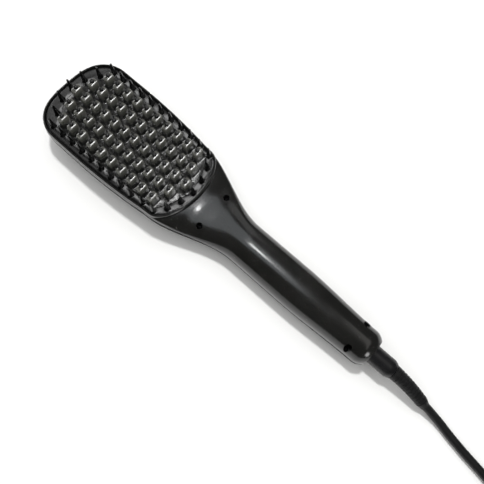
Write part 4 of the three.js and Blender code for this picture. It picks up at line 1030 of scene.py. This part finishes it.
# %% A finish and its surface
def new_finish(name, colour, roughness, ior=1.5, **sockets):
    finish = bpy.data.materials.new(name)
    finish.use_nodes = True
    shader = finish.node_tree.nodes["Principled BSDF"]
    shader.inputs["Base Color"].default_value = linear(colour)
    shader.inputs["Roughness"].default_value = roughness
    shader.inputs["IOR"].default_value = ior
    for key, value in sockets.items():
        shader.inputs[key.replace("_", " ")].default_value = value
    finish.diffuse_color = linear(colour)
    return finish


def surface(finish, size_mm, depth_mm, rough, colours=None, haze_mm=22.0):
    tree, shader = finish.node_tree, finish.node_tree.nodes["Principled BSDF"]
    place_on = add_node(tree, "ShaderNodeTexCoord").outputs["Object"]
    grain = add_node(tree, "ShaderNodeTexNoise", {"Vector": place_on}, Scale=scale_for(size_mm), Detail=3.0)
    bump = add_node(tree, "ShaderNodeBump", {"Height": grain.outputs["Fac"]}, Distance=depth_mm * MM)
    tree.links.new(bump.outputs["Normal"], shader.inputs["Normal"])
    haze = add_node(tree, "ShaderNodeTexNoise", {"Vector": place_on}, Scale=scale_for(haze_mm), Detail=4.0)
    spread = add_node(tree, "ShaderNodeMapRange", {"Value": haze.outputs["Fac"]},
                      From_Min=0.3, From_Max=0.7, To_Min=rough[0], To_Max=rough[1])
    tree.links.new(spread.outputs["Result"], shader.inputs["Roughness"])
    if colours:
        shade = add_node(tree, "ShaderNodeValToRGB", {"Fac": haze.outputs["Fac"]})
        for end, stop in ((0, 0.35), (1, 0.65)):
            shade.color_ramp.elements[end].position = stop
            shade.color_ramp.elements[end].color = linear(colours[end])
        tree.links.new(shade.outputs["Color"], shader.inputs["Base Color"])


print("a finish is a shader with a grain and a haze")

# %% [markdown]
# ## Finishes of the housing
# The front cover is ABS moulded in a polished steel mould. The rear cover comes from the same
# plastic, but its mould is eroded by sparks, so that fingerprints and scratches from the table don't
# show on it.

# %% ABS covers
# Polished ABS is a deep black that mirrors the lights clearly, and its faint orange peel and haze
# break the edges of those mirror images a little.
gloss_abs = new_finish("abs_polished_mould", "#131312", 0.2, 1.5,
                       Coat_Weight=0.3, Coat_Roughness=0.08, Coat_IOR=1.5)
surface(gloss_abs, 2.6, 0.004, rough=(0.16, 0.26), colours=("#121211", "#161615"))

# An eroded mould gives a matt black without mirror images, which stays dark beside the white table.
satin_abs = new_finish("abs_eroded_mould", "#0b0b0c", 0.66, 1.45, Specular_IOR_Level=0.12)
surface(satin_abs, 0.5, 0.006, rough=(0.6, 0.72), colours=("#0a0a0b", "#0e0e0f"))
print("cover finishes:", gloss_abs.name, satin_abs.name)

# %% [markdown]
# ## Finishes of the bristle field
# The plate is cast aluminium with a sprayed ceramic coat. The ring and the combs are nylon: glass
# filled and glossy in the ring, and plain and dull in the beads, which touch the skin.

# %% Ceramic coat
# The coat is hard and dense, so its high IOR gives each tooth a bright bar. Its colour is painted by height:
# painted shade, near black, on the ground between the teeth and low on their sides, and lighter up to the
# tops.
ceramic = new_finish("ceramic_coat_on_cast_aluminium", "#3c3c3b", 0.24, 2.1)
surface(ceramic, 0.9, 0.008, rough=(0.2, 0.3), haze_mm=9.0)
tree = ceramic.node_tree
place_on = add_node(tree, "ShaderNodeTexCoord").outputs["Object"]
height = add_node(tree, "ShaderNodeSeparateXYZ", {"Vector": place_on})
rise = add_node(tree, "ShaderNodeMapRange", {"Value": height.outputs["Z"]},
                From_Min=PLATE_TOP_Z * MM, From_Max=TOOTH_TOP_Z * MM)
# The ramp paints the shade between the teeth dark and lightens the colour toward the tooth tops.
shade = add_node(tree, "ShaderNodeValToRGB", {"Fac": rise.outputs["Result"]})
shade.color_ramp.elements[0].color = linear("#0d0d0d")
shade.color_ramp.elements[1].color = linear("#3a3a38")
for stop, colour in ((0.25, "#2a2a28"), (0.55, "#585852"), (0.85, "#777770")):
    shade.color_ramp.elements.new(stop).color = linear(colour)
tree.links.new(shade.outputs["Color"], tree.nodes["Principled BSDF"].inputs["Base Color"])
print("stops up a tooth:", len(shade.color_ramp.elements))

# %% Nylon of the ring and the beads
# Glass-filled nylon is a dense black, a little softer in gloss than the covers.
nylon = new_finish("nylon_glass_filled", "#0b0b0b", 0.22, 1.53)
surface(nylon, 0.9, 0.006, rough=(0.17, 0.27), colours=("#0a0a0a", "#0f0f0f"), haze_mm=12.0)

# Plain nylon from a blasted mould keeps the beads dark, with only a broad, weak shine on top.
bead_nylon = new_finish("nylon_heat_proof", "#0b0b0b", 0.45, 1.53)
surface(bead_nylon, 0.5, 0.008, rough=(0.4, 0.52), colours=("#0a0a0a", "#0e0e0e"), haze_mm=6.0)
print("field finishes:", ceramic.name, nylon.name, bead_nylon.name)

# %% [markdown]
# ## Finishes of the swivel, the lead and the keys
# These are the parts that hands and floors wear, so none of them is glossy. Only the window over the
# display is polished, because it is there to be seen through.

# %% Barrel, sleeve and lead
# Nylon from an eroded mould looks satin: a soft, wide shine along the barrel.
satin = new_finish("nylon_eroded_mould", "#111113", 0.38, 1.53)
surface(satin, 0.35, 0.012, rough=(0.33, 0.45), colours=("#0f0f11", "#151517"), haze_mm=14.0)

# Soft moulded PVC is dull and slightly grey, because its plasticiser clouds the surface.
soft_pvc = new_finish("pvc_soft_moulded", "#101011", 0.58, 1.52)
surface(soft_pvc, 0.4, 0.02, rough=(0.5, 0.66), colours=("#0e0e0f", "#151516"), haze_mm=10.0)

# Extruded PVC is a little smoother than moulded PVC, with the faint grain of its die.
lead_pvc = new_finish("pvc_extruded", "#0f0f10", 0.5, 1.52)
surface(lead_pvc, 0.6, 0.016, rough=(0.44, 0.58), colours=("#0d0d0e", "#141415"), haze_mm=18.0)
print("lead finishes:", satin.name, soft_pvc.name, lead_pvc.name)

# %% Keys, strap and window
# Finely textured ABS looks a shade greyer than the cover round it, so a key can be found.
key_abs = new_finish("abs_fine_texture", "#17181a", 0.48, 1.53)
surface(key_abs, 0.3, 0.01, rough=(0.42, 0.56), colours=("#141517", "#1a1b1d"), haze_mm=5.0)

# Hook tape is a field of tiny nylon hooks, fully matt and uneven in tone.
strap_nylon = new_finish("nylon_hook_tape", "#121213", 0.8, 1.53)
surface(strap_nylon, 0.45, 0.15, rough=(0.7, 0.9), colours=("#0d0d0e", "#1c1c1d"), haze_mm=1.2)

# Smoked acrylic is almost black and as smooth as glass, so it mirrors sharply.
smoked = new_finish("acrylic_smoked", "#0c0d10", 0.06, 1.49, Coat_Weight=0.3)
surface(smoked, 3.0, 0.001, rough=(0.04, 0.09), colours=("#0b0c0f", "#0e0f13"))
print("control finishes:", key_abs.name, strap_nylon.name, smoked.name)

# %% [markdown]
# ## Metals and the parts inside
# A metal takes its colour from its reflection, so its colour is light and its roughness tells how it
# was made. Inside the covers are ceramic heaters, mica, the board and its components.

# %% Metals
# Nickel plating on brass is a warm, bright mirror, dulled a little by use.
nickel = new_finish("brass_nickel_plated", "#c9c5bc", 0.22, Metallic=1.0)
surface(nickel, 0.5, 0.004, rough=(0.16, 0.3), colours=("#c4c0b7", "#d0ccc3"), haze_mm=4.0)

# Zinc plating on steel is a cool, blurred grey.
zinc = new_finish("steel_zinc_plated", "#8d9094", 0.36, Metallic=1.0)
surface(zinc, 0.4, 0.006, rough=(0.28, 0.46), colours=("#84878b", "#979a9e"), haze_mm=3.0)

# Black oxide leaves the shine of steel and takes most of its light, so a screw stays dark in its hole.
black_oxide = new_finish("steel_black_oxide", "#2b2b2d", 0.4, Metallic=1.0)
surface(black_oxide, 0.4, 0.006, rough=(0.34, 0.5), colours=("#262628", "#323234"), haze_mm=3.0)

# Turned brass is yellow, with fine tool marks that blur what it mirrors.
bare_brass = new_finish("brass_turned", "#c9a04d", 0.3, Metallic=1.0)
surface(bare_brass, 0.3, 0.006, rough=(0.22, 0.4), colours=("#bd9443", "#d2ab5b"), haze_mm=3.0)
print("metals:", nickel.name, zinc.name, black_oxide.name, bare_brass.name)

# %% Insulators
# Sintered alumina is off-white and matt, like unglazed china.
alumina = new_finish("alumina_sintered", "#e4e0d6", 0.6, 1.76)
surface(alumina, 0.3, 0.01, rough=(0.5, 0.7), colours=("#dedacf", "#eae7de"), haze_mm=6.0)

# Pressed mica paper is tan and flaky, and its gloss changes from flake to flake.
mica = new_finish("mica_paper_pressed", "#b7a47a", 0.55, 1.58)
surface(mica, 1.2, 0.03, rough=(0.42, 0.7), colours=("#a8946a", "#c6b58c"), haze_mm=3.0)

# Silicone wire jackets are brick red and rubbery, with hardly any shine.
wire_silicone = new_finish("silicone_wire_jacket", "#8a3324", 0.5, 1.43)
surface(wire_silicone, 0.4, 0.01, rough=(0.44, 0.58), colours=("#7d2c1e", "#95392a"), haze_mm=5.0)
print("insulators:", alumina.name, mica.name, wire_silicone.name)

# %% Board and components
# Solder mask on a glass-epoxy board is a lacquer: green, even and half glossy.
board_green = new_finish("fr4_solder_mask", "#1c5533", 0.35, 1.55)
surface(board_green, 0.5, 0.01, rough=(0.3, 0.42), colours=("#194c2e", "#205f39"), haze_mm=4.0)

# Dipped epoxy runs before it sets, so its blue skin is smooth and slightly wavy.
part_blue = new_finish("epoxy_dipped_blue", "#27456e", 0.4, 1.55)
surface(part_blue, 1.0, 0.02, rough=(0.32, 0.5), colours=("#233f66", "#2c4c78"), haze_mm=5.0)

# Moulded epoxy is a dry, dark grey.
part_black = new_finish("epoxy_moulded_black", "#191919", 0.55, 1.55)
surface(part_black, 0.3, 0.01, rough=(0.48, 0.62), colours=("#161616", "#1e1e1e"), haze_mm=4.0)
print("finishes in all:", len(bpy.data.materials))

# %% [markdown]
# ## Leads inside
# Six thin silicone leads join the contacts, the board and the heaters. They are soft, so the packed
# stand-ins are replaced by smooth tubes on the same lines.

# %% Lines of the leads to the head
WIRE, NECK_STEPS = 0.6, 7
BOARD_MIDDLE_Z = BOARD_BACK_Z + 0.8
CLAMP_TOP_Z = HEATER_TOP_Z - 1.6
PAD_UNDER_Z = CLAMP_TOP_Z - 1.2 - 2.2
CLAMP_START = FIELD_MIDDLE_X - 42


def neck_run(end_x, y0, y1, z1):
    start_x = BOARD_END + GAP
    run = []
    for share in (k / NECK_STEPS for k in range(NECK_STEPS + 1)):
        bend = smooth((share - 0.3) / 0.6)
        run.append((start_x + share * (end_x - start_x), y0 + bend * (y1 - y0),
                    BOARD_MIDDLE_Z + bend * (z1 - BOARD_MIDDLE_Z)))
    return run


def heater_run(s):
    z, y = HEATER_TOP_Z - WIRE - 0.05, s * COLUMN_PITCH / 2
    return neck_run(CLAMP_START - 1, s * 4, y, z) + [(FIELD_MIDDLE_X - 35 - GAP, y, z)]


def window_run(s, top_z):
    under, y, bend = PAD_UNDER_Z - 4 * WIRE, s * 1.5 * COLUMN_PITCH, 3 * WIRE
    x = FIELD_MIDDLE_X
    return neck_run(CLAMP_START, s * 7.4, y, under) + [
        (x - 2 * bend, y, under), (x - 0.6 * bend, y, under + 0.25 * bend),
        (x - 0.15 * bend, y, under + 0.8 * bend), (x, y, under + 1.8 * bend), (x, y, top_z)]


print("points to a heater:", len(heater_run(1)), "and to the sensor:", len(window_run(1, HEATER_TOP_Z)))

# %% Inner leads
def supply_run(s):
    x0, x1 = CONTACT_X + CONTACT_LENGTH + GAP, BOARD_START + 2 - GAP
    z0, z1 = AXIS_Z - CONTACT_DROP + GAP + 0.9, BOARD_BACK_Z + 1.6 + GAP + 3
    return [(x0 + u * (x1 - x0), s * 7.2 * 0.4, z0 + smooth((u - 0.15) / 0.7) * (z1 - z0))
            for u in (0, 0.15, 0.35, 0.5, 0.65, 0.85, 1)]


runs = {
    "heater_lead_left": heater_run(1), "heater_lead_right": heater_run(-1),
    "sensor_lead": window_run(1, HEATER_TOP_Z - 2.6 - GAP),
    "fuse_lead": window_run(-1, HEATER_TOP_Z - 3.4 - GAP),
    "supply_lead_left": supply_run(1), "supply_lead_right": supply_run(-1),
}
wires = {name: loft(name.replace("_lead", "_wire"), tube_rings(finer(run, 1.5), lambda t: WIRE, 10))
         for name, run in runs.items()}
print("wires:", len(wires))

# %% [markdown]
# ## Every piece gets its finish and its body
# A piece gets its finish, rides on the body that carries it, and stands for the imported solids
# under it. Imported solids that stay, all of them inside the
# covers, only get their finish.

# %% The lead and what is on it
def dress(piece, finish, slot, body, *nodes):
    piece.data.materials.clear()
    piece.data.materials.append(finish)
    if body:
        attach(piece, body)
    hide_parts(*nodes)
    return piece


dress(lead, lead_pvc, "cord_rubber", "housing", "power_cord", "cord_coil")
dress(tie, strap_nylon, "tie_plastic", "housing", "cord_tie")
dress(plug, soft_pvc, "cord_rubber", "housing", "plug_body")
for k in (0, 1):
    dress(pins[2 * k], nickel, "pin_metal", "housing", f"plug_pin_{k + 1}")
    dress(pins[2 * k + 1], part_black, "cord_rubber", "housing")
print("pieces on the lead:", 2 + len(pins))

# %% Covers, bristle field and keys
dress(front_shell, gloss_abs, "housing", "housing", "front_shell")
dress(rear_shell, satin_abs, "housing", "housing", "rear_shell")
dress(plate, ceramic, "heated_plate", "housing", "heating_plate")
dress(ring, nylon, "bristle_nylon", "housing", "cool_bristle_ring")
for k, comb in enumerate(combs):
    dress(comb, bead_nylon, "bristle_nylon", "housing", f"tip_comb_{k + 1}")
for name, key in buttons.items():
    dress(key, key_abs, "button_plastic", name, name)
dress(lens, smoked, "smoked_lens", "housing", "display_lens")
print("covers, field and keys:", 5 + len(combs) + len(buttons))

# %% Swivel, sleeve, screws and inner leads
dress(barrel, satin, "swivel_plastic", "cord_swivel", "swivel_barrel")
dress(relief, soft_pvc, "cord_rubber", None, "strain_relief")
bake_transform(relief)
for name, piece in screws.items():
    dress(piece, black_oxide, "steel", "housing", name)
for name, piece in wires.items():
    dress(piece, wire_silicone, "lead_insulation", "housing", name)

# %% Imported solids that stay
INSIDE = {
    alumina: ("heater_strip_left", "heater_strip_right", "temperature_sensor"),
    zinc: ("clamp_plate", "clamp_screw_1", "clamp_screw_2", "clamp_screw_3", "clamp_screw_4", "thermal_fuse"),
    mica: ("insulation_pad",),
    part_black: ("power_switch", "minus_switch", "plus_switch", "triac", "contact_block"),
    part_blue: ("display_module", "mains_capacitor", "power_relay"),
    board_green: ("main_board", "terminal_block"),
    bare_brass: ("slip_ring_1", "slip_ring_2", "contact_leaf_1", "contact_leaf_2"),
}
for finish, names in INSIDE.items():
    for name in names:
        for slot in frame["nodes"][name].material_slots:
            slot.link = "OBJECT"
            slot.material = finish
print("packed solids with a finish:", sum(len(names) for names in INSIDE.values()))

# %% The lead and its pieces
print("lead declared with", 2 + len(pins), "pieces on it")

# %% [markdown]
# ## Table
# The photograph was taken on a white sheet. The sheet also lights the brush from below, which is why
# its dark sides don't sink into black.

# %% Table
TABLE_HALF, TABLE_Z = 1500, -0.15
corners = [(x * TABLE_HALF, y * TABLE_HALF, TABLE_Z) for x, y in ((-1, -1), (1, -1), (1, 1), (-1, 1))]
table = piece_of("table", corners, [(0, 1, 2, 3)])
# Matt paper is white without shine, so only shadows show on it.
paper = new_finish("paper_sweep_white", "#f4f4f3", 0.7, 1.45)
surface(paper, 1.0, 0.004, rough=(0.62, 0.8), colours=("#f3f3f2", "#f6f6f5"), haze_mm=120.0)
table.data.materials.append(paper)
print("table:", 2 * TABLE_HALF, "mm wide")

# %% [markdown]
# ## Light
# Two soft lights above the table do the lighting, and don't show in reflections. What a black glossy
# thing looks like depends on what it mirrors, so each bright shape in its gloss has a card: an area
# light that only reflections see. A photographer keeps a card off a piece with a flag, and light
# linking does the same here: a card can be given to the covers, to the head or to the field alone.

# %% Lights and cards
TABLE_PLACE, HEAD_PLACE = (0.0, 0.0, 0.02), (0.09, 0.0, 0.036)


def light(name, direction, distance, size, power, target=TABLE_PLACE):
    lamp = bpy.data.lights.new(name, "AREA")
    lamp.shape = "ELLIPSE"
    lamp.size, lamp.size_y = size
    lamp.energy = power
    holder = bpy.data.objects.new(name, lamp)
    bpy.context.scene.collection.objects.link(holder)
    aim = Vector(direction).normalized()
    holder.location = Vector(target) + aim * distance
    holder.rotation_euler = aim.to_track_quat("Z", "Y").to_euler()
    return holder


def card(name, direction, distance, size, power, target=TABLE_PLACE, only=None, tint=(1, 1, 1)):
    panel = light(name, direction, distance, size, power, target)
    panel.visible_diffuse = False
    panel.data.color = tint
    panel.light_linking.receiver_collection = only


print("cards look at the head from", HEAD_PLACE)

# %% Flags
def flagged(name, pieces):
    group = bpy.data.collections.new(name)
    for piece in pieces:
        group.objects.link(piece)
    return group


field, rim = flagged("bristle_field", [plate, ring] + combs), flagged("field_rim", [ring])
covers = flagged("covers", [front_shell, rear_shell])
whole_head = flagged("head", [front_shell, rear_shell, plate, ring] + combs)

# %% Soft lights, and cards for the covers
light("ceiling_bounce", (0.1, -0.2, 0.96), 1.2, (0.1, 0.1), 8.2).visible_glossy = False
light("white_room", (0.0, 0.0, 1.0), 1.0, (2.7, 2.7), 17.5).visible_glossy = False
# The lamp is the small bright spot on the neck. Its halo is the broad cool glow round the spot, which
# runs out in a streak down the handle, and the panel is the pale patch at the handle's end.
card("lamp", (0.14, -0.15, 0.97), 1.1, (0.08, 0.08), 0.8)
card("lamp_halo", (0.37, -0.16, 0.91), 1.05, (0.6, 1.0), 1.9, only=covers, tint=(0.9, 0.96, 1.0))
card("side_wall", (0.34, -0.76, 0.56), 1.0, (0.4, 0.7), 0.42, only=covers)
card("ceiling_panel", (-0.36, -0.14, 0.93), 0.95, (0.7, 0.24), 0.36, tint=(1.0, 0.98, 0.93))
print("lights so far:", len(bpy.data.lights))

# %% Cards for the head
# Cards behind the head and on the handle's side edge the lip and the ring.
card("window_behind", (0.89, 0.27, 0.37), 0.9, (0.3, 0.3), 0.8, HEAD_PLACE)
card("sweep_behind", (1.0, -0.1, 0.16), 0.9, (0.3, 0.9), 2.4, HEAD_PLACE)
card("white_wall", (-0.86, 0.28, 0.28), 0.9, (0.3, 0.36), 1.6, HEAD_PLACE, only=whole_head)
card("window_far", (0.44, -0.22, 0.9), 1.0, (0.3, 0.6), 2.4, only=rim)
card("far_ceiling", (0.58, -0.1, 0.78), 1.0, (0.42, 1.3), 1.1, only=rim)
# The two boxes are near, so they make the bright bar on each tooth's shoulder.
card("box_light", (-0.6, -0.19, 0.76), 0.5, (0.3, 0.3), 2.0, HEAD_PLACE, only=field)
card("small_box", (-0.2, -0.7, 0.68), 0.45, (0.1, 0.1), 0.5, HEAD_PLACE, only=field)

# %% [markdown]
# The backdrop is pale to the camera and dim in reflections, because most of a real room is much
# darker than its windows and lamps.

# %% Backdrop
world = bpy.data.worlds.new("studio")
world.use_nodes = True
backdrop = world.node_tree.nodes["Background"]
backdrop.inputs["Color"].default_value = linear("#edece6")
rays = add_node(world.node_tree, "ShaderNodeLightPath")
seen = add_node(world.node_tree, "ShaderNodeMapRange", {"Value": rays.outputs["Is Camera Ray"]},
                To_Min=0.09, To_Max=0.95)
world.node_tree.links.new(seen.outputs["Result"], backdrop.inputs["Strength"])
bpy.context.scene.world = world
bpy.context.scene.view_settings.view_transform = "Standard"
print("backdrop:", world.name)
